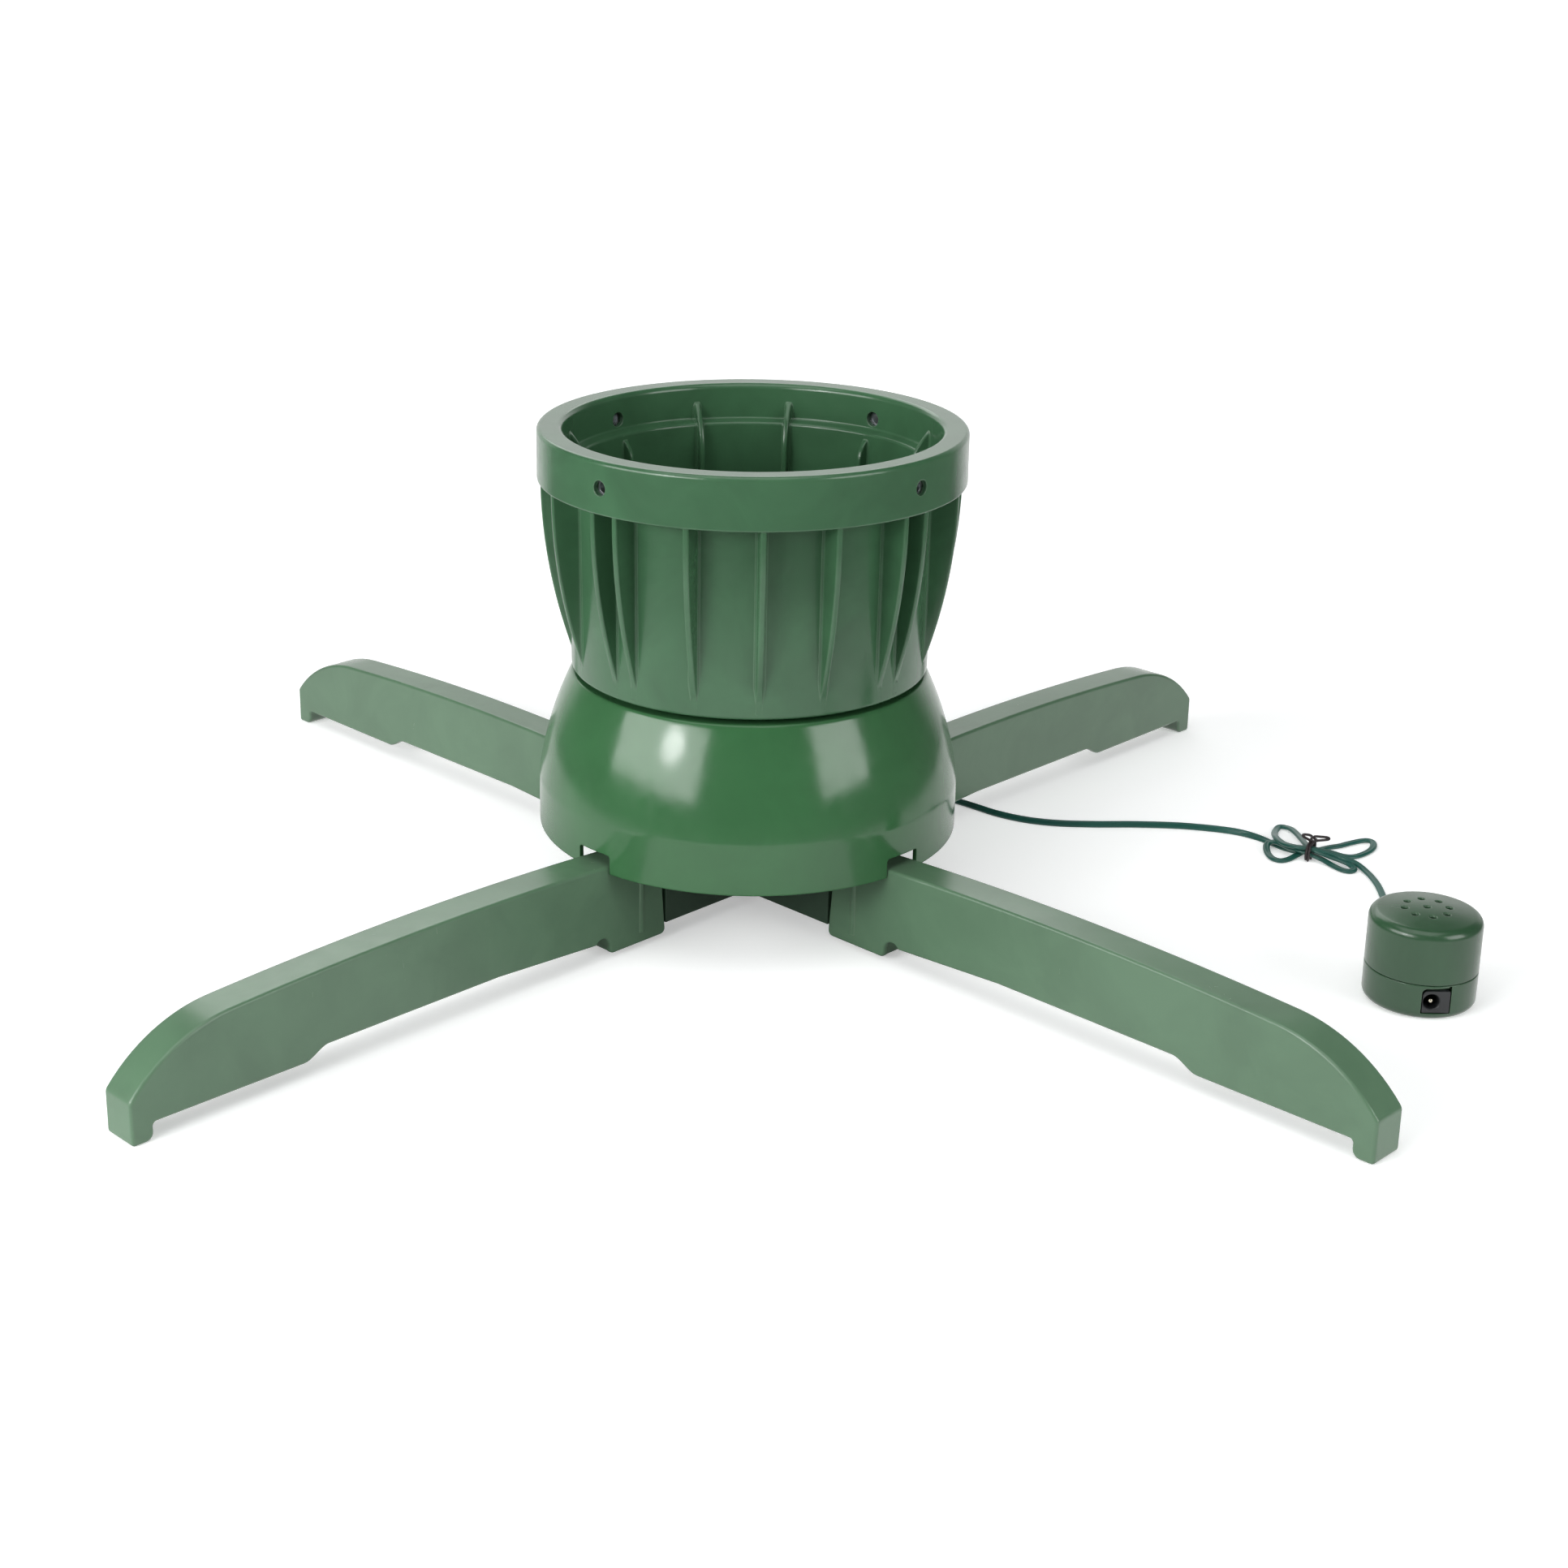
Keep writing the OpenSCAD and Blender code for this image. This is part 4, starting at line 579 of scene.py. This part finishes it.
shell_corners = [
    ((0, gear_boss_z), 0), ((gear_boss_r, gear_boss_z), 0.0006), ((gear_boss_r, bucket_z), 0.001),
    ((base_r, bucket_z), 0.0016),
    ((wall_top_r, channel_z), 0.0012), ((channel_wall_r, ledge_z - bucket_wall), 0.001),
    ((channel_wall_r, rim_z - band_wall), 0.001), ((rim_r - band_wall, rim_z - band_wall), 0.001),
    ((rim_r - band_wall, band_z), 0.0004), ((rim_r, band_z), 0.0007), ((rim_r, rim_z), rim_round),
    ((lip_r, rim_z), lip_round), ((lip_r, ledge_z), 0.0009), ((inner_top_r, ledge_z - ledge_h), 0.0014),
    ((inner_base_r, floor_z), 0.0030), ((0, floor_z), 0)]
wall = revolved(softened([c for c, _ in shell_corners], [r for _, r in shell_corners], steps=9), 288)
quarters = [screw_turn + q for q in (0, 90, 180, 270)]
wall = carved(wall, *[bore(screw_hole_r, screw_in, screw_out, screw_z, a) for a in quarters])


def blade(z, foot, edge, half, nose, root, azimuth):
    """A rib on a wall, ring by ring up z: its section runs out of the wall in a hollow of radius root,
    along the side, round a nose, and back. foot and edge are its distances from the axis. It is sunk
    into the wall, and hidden in it where the edge lies behind the wall."""
    sunk, hidden = 0.0008, 0.0005
    side = np.sign(np.mean(edge - foot))
    depth = np.maximum((edge - foot) * side, -hidden)
    fit = np.clip(depth / (nose + root + 0.0003), 0, 1)[:, None]
    t = np.radians(np.linspace(0, 90, 5))[None, :]
    f, e = root * fit, nose * fit
    far = depth[:, None]
    out = np.hstack([np.full((len(z), 1), -sunk), f * (1 - np.cos(t)), far - e + e * np.sin(t)])
    wide = np.hstack([half + f, half + f - f * np.sin(t), half - e + e * np.cos(t)])
    x = foot[:, None] + side * np.hstack([out, out[:, ::-1]])
    y = np.hstack([-wide, wide[:, ::-1]])
    return towards(lofted(np.stack([x, y, np.repeat(z[:, None], x.shape[1], 1)], -1)), azimuth)


# Outer fins: the edge is part of a circle of 228 mm, level at the band, and it fades out at the foot
fin_edge, fin_curve, fin_half, fin_nose, fin_root = 0.0886, 0.228, 0.0013, 0.0008, 0.0010
fin_turns = (-4, 4, 25, 45, 65)
z = np.concatenate([np.linspace(bucket_z + 0.0025, band_z, 44),
                    [channel_z, ledge_z - bucket_wall, ledge_z, rim_z - rim_round]])
edge = np.where(z < band_z, fin_edge - fin_curve + np.sqrt(fin_curve ** 2 - (band_z - z) ** 2), fin_edge)
foot = np.interp(z, [bucket_z, channel_z, ledge_z - bucket_wall, rim_z],
                 [base_r, wall_top_r, channel_wall_r, channel_wall_r])
fins = [blade(z, foot, edge, fin_half, fin_nose, fin_root, quarter + a)
        for quarter in quarters for a in fin_turns]

# Inner vanes: upright edges whose tops curve back into the wall, low ones under the screws
vane_r, vane_half, vane_nose, vane_root = 0.0695, 0.0011, 0.0007, 0.0008
vanes = []
for top, curve, places in ((ledge_z - 0.002, 0.012, (0,)), (rim_z - 0.008, 0.031, (-30, 30))):
    drop = math.sqrt(curve ** 2 - (curve - (lip_r - vane_r)) ** 2)
    z = np.concatenate([np.linspace(floor_z - 0.0005, top - drop, 12),
                        top - drop + drop * np.sin(np.radians(np.linspace(4, 90, 26)))])
    edge = np.where(z < top - drop, vane_r,
                    vane_r + curve - np.sqrt(np.maximum(curve ** 2 - np.maximum(z - top + drop, 0) ** 2, 0)))
    foot = np.interp(z, [floor_z, ledge_z - ledge_h, ledge_z, rim_z],
                     [inner_base_r, inner_top_r, lip_r, lip_r])
    vanes += [blade(z, foot, edge, vane_half, vane_nose, vane_root, quarter + a)
              for quarter in quarters for a in places]

# Bosses round the threaded inserts, in the channel under the rim
boss_r, boss_in, boss_out, insert_r, insert_in, insert_out = 0.0065, 0.0805, 0.0882, 0.00455, 0.0818, 0.0872
seat = [(screw_hole_r, boss_in), (boss_r, boss_in), (boss_r, boss_out), (screw_hole_r, boss_out),
        (screw_hole_r, insert_out), (insert_r, insert_out), (insert_r, insert_in), (screw_hole_r, insert_in)]
points, faces = revolved(seat, 48)
boss = (points[:, [2, 0, 1]] + (0, 0, screw_z), faces)
bosses = [towards(boss, a) for a in quarters]

# The low cross on the floor that the trunk stands on
bar_in, bar_out, bar_half, bar_h = 0.010, 0.040, 0.0015, 0.005
bar = softened([(bar_in, -bar_half), (bar_out, -bar_half), (bar_out, bar_half), (bar_in, bar_half)], 0.0007)
bar = extruded(bar, (floor_z - 0.0005, floor_z + bar_h))
cross = [towards(bar, quarter + 45) for quarter in quarters]

# Satin polypropylene, a little lighter than the hood because its tool is less polished
bucket_plastic = moulded("polypropylene, satin bucket green", "#41694a", "#7c9c80", 0.19, 0.00012, grain=0.5)
piece("bucket_moulding", joined(wall, *fins, *vanes, *bosses, *cross), bucket_plastic, "bucket",
      "bucket_green", "tree_bucket")


# ---- Cord, its tie and its grommets ----
# A flat twin cord in soft green vinyl, 3.2 x 2 mm, from the motor through a rubber grommet in the
# hood. It lies on the floor, is tied into a bow of five passes, and goes into the pod's back.

def through(points, per_span):
    """A smooth line through the points: on each span a cubic whose end slopes follow the neighbours."""
    p = np.asarray(points, float)
    slope = np.gradient(p, axis=0)
    t = np.linspace(0, 1, per_span, endpoint=False)[None, :, None]
    a, b, u, v = p[:-1, None], p[1:, None], slope[:-1, None], slope[1:, None]
    line = ((2 * t ** 3 - 3 * t ** 2 + 1) * a + (t ** 3 - 2 * t ** 2 + t) * u
            + (-2 * t ** 3 + 3 * t ** 2) * b + (t ** 3 - t ** 2) * v)
    return np.vstack([line.reshape(-1, 3), p[-1:]])


def swept(line, section, level=(0, 0, 1), roll=0.0):
    """A section of (across, up) points carried along a line, kept level or rolled by an angle at each
    point, with flat ends."""
    ahead = np.gradient(line, axis=0)
    ahead /= np.linalg.norm(ahead, axis=1)[:, None]
    across = np.cross(level, ahead)
    across /= np.linalg.norm(across, axis=1)[:, None]
    up = np.cross(ahead, across)
    c, s = np.cos(np.zeros(len(line)) + roll)[:, None], np.sin(np.zeros(len(line)) + roll)[:, None]
    across, up = across * c + up * s, up * c - across * s
    return lofted(line[:, None] + across[:, None] * section[None, :, :1] + up[:, None] * section[None, :, 1:])


cord_w, cord_t = 0.0032, 0.0020
# The route in millimetres: as in the model's source, with the bow's loops drawn out. Where the cord
# lies flat on the floor its middle is at the height of rest.
rest = 1.05
route = [
    (36, 87, 57), (37.5, 91, 57), (39.5, 95, 55), (43, 100, 47), (47, 106, 34), (51.5, 112, 20),
    (57, 118, 9), (64, 123, 3), (73, 125.5, rest), (83, 124, rest), (93, 119, rest), (103, 112, rest),
    (112, 104, rest), (121, 96, rest), (133, 89, rest), (147, 85, rest), (165, 84, rest),
    (185, 84.5, rest), (205, 83.5, rest), (221, 80.2, rest), (231, 76.6, rest), (238, 72, rest),
    # Through the knot to the right loop, and back
    (243, 67, rest), (246.3, 62, rest), (250, 57.5, rest), (254.5, 54.8, rest), (260, 54.8, rest),
    (265.5, 57.2, rest), (270.5, 60, rest), (275.5, 62, rest), (281, 65.3, rest), (286.6, 68.3, rest),
    (290.4, 69.0, rest), (292.1, 66.6, rest), (291.3, 62, rest), (288.6, 57, rest), (284.5, 52.6, rest),
    (279.5, 49.3, rest), (274.5, 48.6, rest + 0.5), (269, 50, rest + 1.6), (264.4, 51, rest + 2.1),
    (260.6, 51.2, rest + 2.2),
    # Lower left loop
    (257.2, 50.6, rest + 1.9), (253, 48.8, rest + 0.6), (248.7, 45.4, rest), (244.6, 43.6, rest),
    (241.6, 46.2, rest), (240.6, 52, rest), (240.9, 57.4, rest + 0.9), (242.3, 60.7, rest + 1.5),
    (244.9, 61.1, rest + 2.0), (247.2, 58.6, rest + 2.3), (250.3, 53.3, rest + 2.5),
    (253.8, 49.6, rest + 2.7), (257.2, 47.4, rest + 2.4),
    # Short loop folded flat, towards the pod
    (260.4, 46.4, rest + 1.4), (263.9, 43.4, rest + 0.7), (267.0, 39.0, rest), (269.6, 34.6, rest),
    (272.0, 32.3, rest), (274.6, 32.4, rest), (275.9, 34.8, rest + 0.3), (274.4, 37.8, rest + 1.0),
    (271.1, 40.6, rest + 1.7), (267.2, 42.9, rest + 2.4), (263.2, 44.8, rest + 3.4), (260, 47.5, rest + 4.0),
    # Upper left loop
    (258.3, 53, rest + 3.9), (258.3, 62.8, rest + 2.6), (258.2, 72.2, rest + 1.4), (257.2, 80.4, rest + 0.6),
    (255.3, 84.2, rest), (252.7, 84.8, rest), (250.5, 81.5, rest), (248.0, 74.0, rest + 1.0),
    (246.6, 63.5, rest + 3.0), (248.2, 54.6, rest + 3.9), (252.2, 50, rest + 4.3), (256.6, 48, rest + 4.6),
    # Away to the pod
    (260.6, 46.6, rest + 4.6), (264.6, 45.4, rest + 4.0), (269.8, 43.5, rest + 3.0), (274, 41, rest + 2.2),
    (278, 38.6, rest + 1.0), (281, 31.5, rest), (282.3, 20, rest), (282, 8, rest), (280.5, -6, rest),
    (278.3, -20, rest), (276.2, -33, rest), (274.6, -44, 1.2), (273.4, -53, 2.3), (272.6, -60, 4.3),
    (272.1, -65.5, 5.8), (272, -70, 6)]
per_span = 6
line = through(np.array(route) / 1000, per_span)
# On its way over the floor the twin cord stands almost on edge; it lies down again at the knot. Its
# middle is as high as half a rolled ellipse: sqrt((w / 2 sin)^2 + (t / 2 cos)^2)
roll = np.radians(np.interp(np.arange(len(line)) / per_span, [0, 3, 7, 20, 23], [0, 20, 68, 68, 0]))
line[:, 2] = np.maximum(line[:, 2], np.hypot(cord_w / 2 * np.sin(roll), cord_t / 2 * np.cos(roll)) + 0.00003)
# Two round cores side by side with a groove between them, as a figure of eight
turn = np.linspace(0, 2 * math.pi, 24, endpoint=False)
waisted = 1 - 0.30 * np.exp(-(np.cos(turn) / 0.24) ** 2)
twin = np.column_stack([cord_w / 2 * np.sign(np.cos(turn)) * np.abs(np.cos(turn)) ** 0.85,
                        cord_t / 2 * np.sin(turn) * waisted])
# Soft vinyl: deep blue-green, a little translucent, with a faint shine
vinyl = moulded("soft vinyl, twin cord green", "#1d5a4f", "#3f7f72", 0.34, 0.00003, clouds=0.12, grain=0.4,
                ior=1.52, edge=0.0002)
dress(vinyl, "motor_leads")
cord = piece("cord", swept(line, twin, roll=roll), vinyl, "base", "cord_green", "cord_to_base", "cord_hank",
             "cord_to_pod", sharp=60)

# Twist tie: thin wire in black vinyl, twice round the bow's waist, its ends bent into two flat eyes
wire_r = 0.0006
waist = np.array([0.2600, 0.0503, 0.0])
lean = math.radians(-22)
sideways = np.array([-math.sin(lean), math.cos(lean), 0])
onward = np.array([math.cos(lean), math.sin(lean), 0])
# Points in millimetres: across the bow, up, and along it
wires = [
    [(-3.0, 0.65, 0.3), (0, 0.65, 0.2), (4.6, 0.65, 0.2), (6.6, 0.8, 0.3), (6.9, 3.2, 0.4),
     (5.6, 5.8, 0.5), (2.4, 7.0, 0.4), (-1.5, 7.4, 0.2), (-4.6, 7.3, 0.0), (-6.6, 5.6, -0.1),
     (-6.9, 2.8, -0.2), (-6.0, 0.75, -0.5), (-2.8, 0.65, -0.9), (2.8, 0.65, -0.9), (6.2, 0.8, -0.8),
     (6.9, 3.4, -0.7), (5.4, 6.2, -0.7), (2.0, 7.3, -0.9), (-1.6, 7.6, -1.0), (-4.6, 7.4, -1.1),
     (-6.7, 5.6, -1.3), (-7.0, 2.8, -1.4), (-6.3, 1.2, -1.4)],
    [(-0.4, 7.3, 0.4), (0.0, 7.9, 0.7), (0.3, 8.6, 2.2), (0.4, 9.2, 4.6), (0.4, 9.9, 6.9),
     (0.4, 10.5, 7.3), (0.3, 10.9, 6.2), (0.2, 10.8, 3.4), (0.1, 10.6, 1.2), (0.3, 10.0, 0.5),
     (0.5, 9.2, 0.9), (0.5, 8.9, 2.0)],
    [(0.4, 7.5, -0.4), (0.0, 8.0, -0.5), (-0.3, 8.7, -1.6), (-0.4, 9.5, -3.4), (-0.4, 10.2, -4.4),
     (-0.3, 10.8, -4.1), (-0.2, 11.0, -2.4), (-0.1, 10.7, -0.8), (-0.3, 10.0, -0.2), (-0.5, 9.2, -0.7)]]
circle = np.linspace(0, 2 * math.pi, 10, endpoint=False)
wire_section = wire_r * np.column_stack([np.cos(circle), np.sin(circle)])
tie_shells = []
for points in wires:
    points = np.array(points)
    placed = (waist + sideways * points[:, :1] / 1000 + np.array([0, 0, 1]) * points[:, 1:2] / 1000
              + onward * points[:, 2:3] / 1000)
    tie_shells.append(swept(through(placed, 4), wire_section, level=(0.31, 0.87, 0.38)))
tie_vinyl = moulded("vinyl on wire, brown black", "#2c2426", "#4a4042", 0.45, 0.00002, ior=1.52, edge=0.0001)
tie = piece("twist_tie_wire", joined(*tie_shells), tie_vinyl, "base", "black_plastic", "twist_tie", sharp=60)

# Rubber grommets, one in the hood's back and one in the pod's
rubber = moulded("rubber, matt black", "#1b1c1d", "#333436", 0.55, 0.00004, clouds=0.2, grain=2.0, ior=1.52,
                 edge=0.0003)
dress(rubber, "cord_grommet", "pod_grommet")


# ---- Pod ----
# A round ABS box in two halves: the base with the power socket in its front, and the cap with nine
# sound holes over the loudspeaker. Three screws from below hold it together.

def at_pod(shell):
    """A shell drawn round the pod's own middle, moved to where the pod stands."""
    return shell[0] + (*pod_at, 0), shell[1]


def revolved_level(profile, steps, start):
    """A (r, z) loop turned round a level axis that runs straight back from start."""
    points, faces = revolved(profile, steps)
    return points[:, [0, 2, 1]] * (1, 1, -1) + start, faces


pod_at, pod_r, pod_h, seam, pod_wall = (0.272, -0.094), 0.0224, 0.0395, 0.015, 0.002
pod_round, pod_foot_round, crown = 0.004, 0.0032, 0.0016
domed = [(r, pod_h - crown * (r / (pod_r - pod_round)) ** 2) for r in np.linspace(0, pod_r - pod_round, 12)]
shoulder = [(pod_r - pod_round + pod_round * math.cos(a), pod_h - crown - pod_round + pod_round * math.sin(a))
            for a in np.radians(np.linspace(80, 0, 10))]
cap_line = np.vstack([domed[:-1], shoulder, softened(
    [(pod_r, pod_h / 2), (pod_r, seam + 0.0001), (pod_r - pod_wall, seam + 0.0001),
     (pod_r - pod_wall, pod_h - crown - pod_wall), (0, pod_h - crown - pod_wall), (0, pod_h - crown)],
    [0, 0.00035, 0.0002, 0.001, 0, 0], steps=6, closed=False)[1:-1]])
cap = revolved(cap_line, 144)
holes, hole_r, hole_deep, ring_r = [], 0.0013, 0.008, 0.009
flare_deep, flare_high, flare_w = 0.0004, 0.0010, 0.0012
for x, y in [(0, 0)] + [(ring_r * math.cos(a), ring_r * math.sin(a)) for a in np.radians(45 * np.arange(8))]:
    lip = pod_h - crown * (math.hypot(x, y) / (pod_r - pod_round)) ** 2
    tool = [(0, pod_h - hole_deep), (hole_r, pod_h - hole_deep), (hole_r, lip - flare_deep),
            (hole_r + flare_w, lip + flare_high), (0, lip + flare_high)]
    holes.append(revolved(tool, 28, (x, y)))
cap = carved(cap, *holes)
base_line = softened(
    [(0, 0), (pod_r, 0), (pod_r, seam - 0.00015), (pod_r - pod_wall, seam - 0.00015),
     (pod_r - pod_wall, pod_wall), (0, pod_wall)], [0, pod_foot_round, 0.00035, 0.0002, 0.0008, 0], steps=8)
socket_x, socket_w, socket_z, socket_h, socket_l = 0.001, 0.011, 0.003, 0.0095, 0.013
socket_bore_r, socket_bore_l, bore_lead, bore_shift = 0.0032, 0.0110, 0.0037, -0.0018
mouth_out, mouth_in, pin_r, pin_out, pin_in = -0.030, -0.010, 0.0010, 0.0010, 0.0100
gap, socket_top = 0.0004, socket_z + socket_h
mouth = softened([(-socket_w / 2 - gap, socket_z - 0.0002), (socket_w / 2 + gap, socket_z - 0.0002),
                  (socket_w / 2 + gap, seam - 0.0004), (socket_w / 2 - 0.0006, seam - 0.0004),
                  (socket_w / 2 - 0.0009, socket_top + 0.0016), (-socket_w / 2 - gap, socket_top + 0.0012)],
                 [0.0004, 0.0004, 0.0002, 0.0002, 0.0006, 0.0022])
mouth_tool = extruded(mouth + (socket_x, 0), (mouth_out, mouth_in), "y")
pod_floor = carved(revolved(base_line, 144), mouth_tool)

# Satin ABS, greyer than the stand itself
pod_plastic = moulded("ABS, satin green", "#36573d", "#6f8a72", 0.23, 0.00006)
piece("pod_cap_moulding", at_pod(cap), pod_plastic, "base", "pod_green", "pod_cap")
piece("pod_base_moulding", at_pod(pod_floor), pod_plastic, "base", "pod_green", "pod_base")

# Power socket: black nylon block with a 6.4 mm bore, a brass centre pin with a rounded nose
face_r = pod_r - 0.0008
front = softened([(-socket_w / 2, 0), (socket_w / 2, 0), (socket_w / 2, socket_h), (-socket_w / 2, socket_h)],
                 [0.0005, 0.0005, 0.0007, 0.0020])
depths = np.array([0, 0.0003, socket_l])
draw = np.array([0.97, 1.0, 1.0])
middle = np.array([0, socket_h / 2])
block = extruded([middle + (front - middle) * k + (socket_x, socket_z) for k in draw],
                 depths - face_r, "y")
bore_line = np.array([(0, -0.002), (bore_lead, -0.002), (bore_lead, 0.0), (socket_bore_r, 0.0006),
                      (socket_bore_r, socket_bore_l), (0, socket_bore_l)])
bore_at = (socket_x + bore_shift, -face_r, socket_z + socket_h / 2)
socket = carved(block, revolved_level(bore_line, 48, bore_at))
nylon = moulded("nylon, matt black", "#26282a", "#4b4e50", 0.42, 0.00003, clouds=0.15, edge=0.0003)
piece("power_socket", at_pod(socket), nylon, "base", "black_plastic", "power_jack")
pin_line = softened([(0, pin_out), (pin_r, pin_out), (pin_r, pin_in), (0, pin_in)],
                    [0, 0.0008, 0.0001, 0])
brass = metal("brass, nickel flashed", "#d9d2bd", 0.16, 0.0030, mottle=0.05)
piece("socket_pin", at_pod(revolved_level(pin_line, 32, bore_at)), brass, "base", "brass", "jack_pin")

# Inside the pod: pressed paper cone, and a circuit board under green lacquer
paper = moulded("pressed paper, black", "#1d1c1b", "#2f2e2c", 0.80, 0.00020, clouds=0.3, grain=6.0, ior=1.45)
dress(paper, "speaker_cone")
lacquer = moulded("circuit board, green lacquer", "#22633a", "#8aa27a", 0.22, 0.00005, clouds=0.15)
dress(lacquer, "circuit_board")
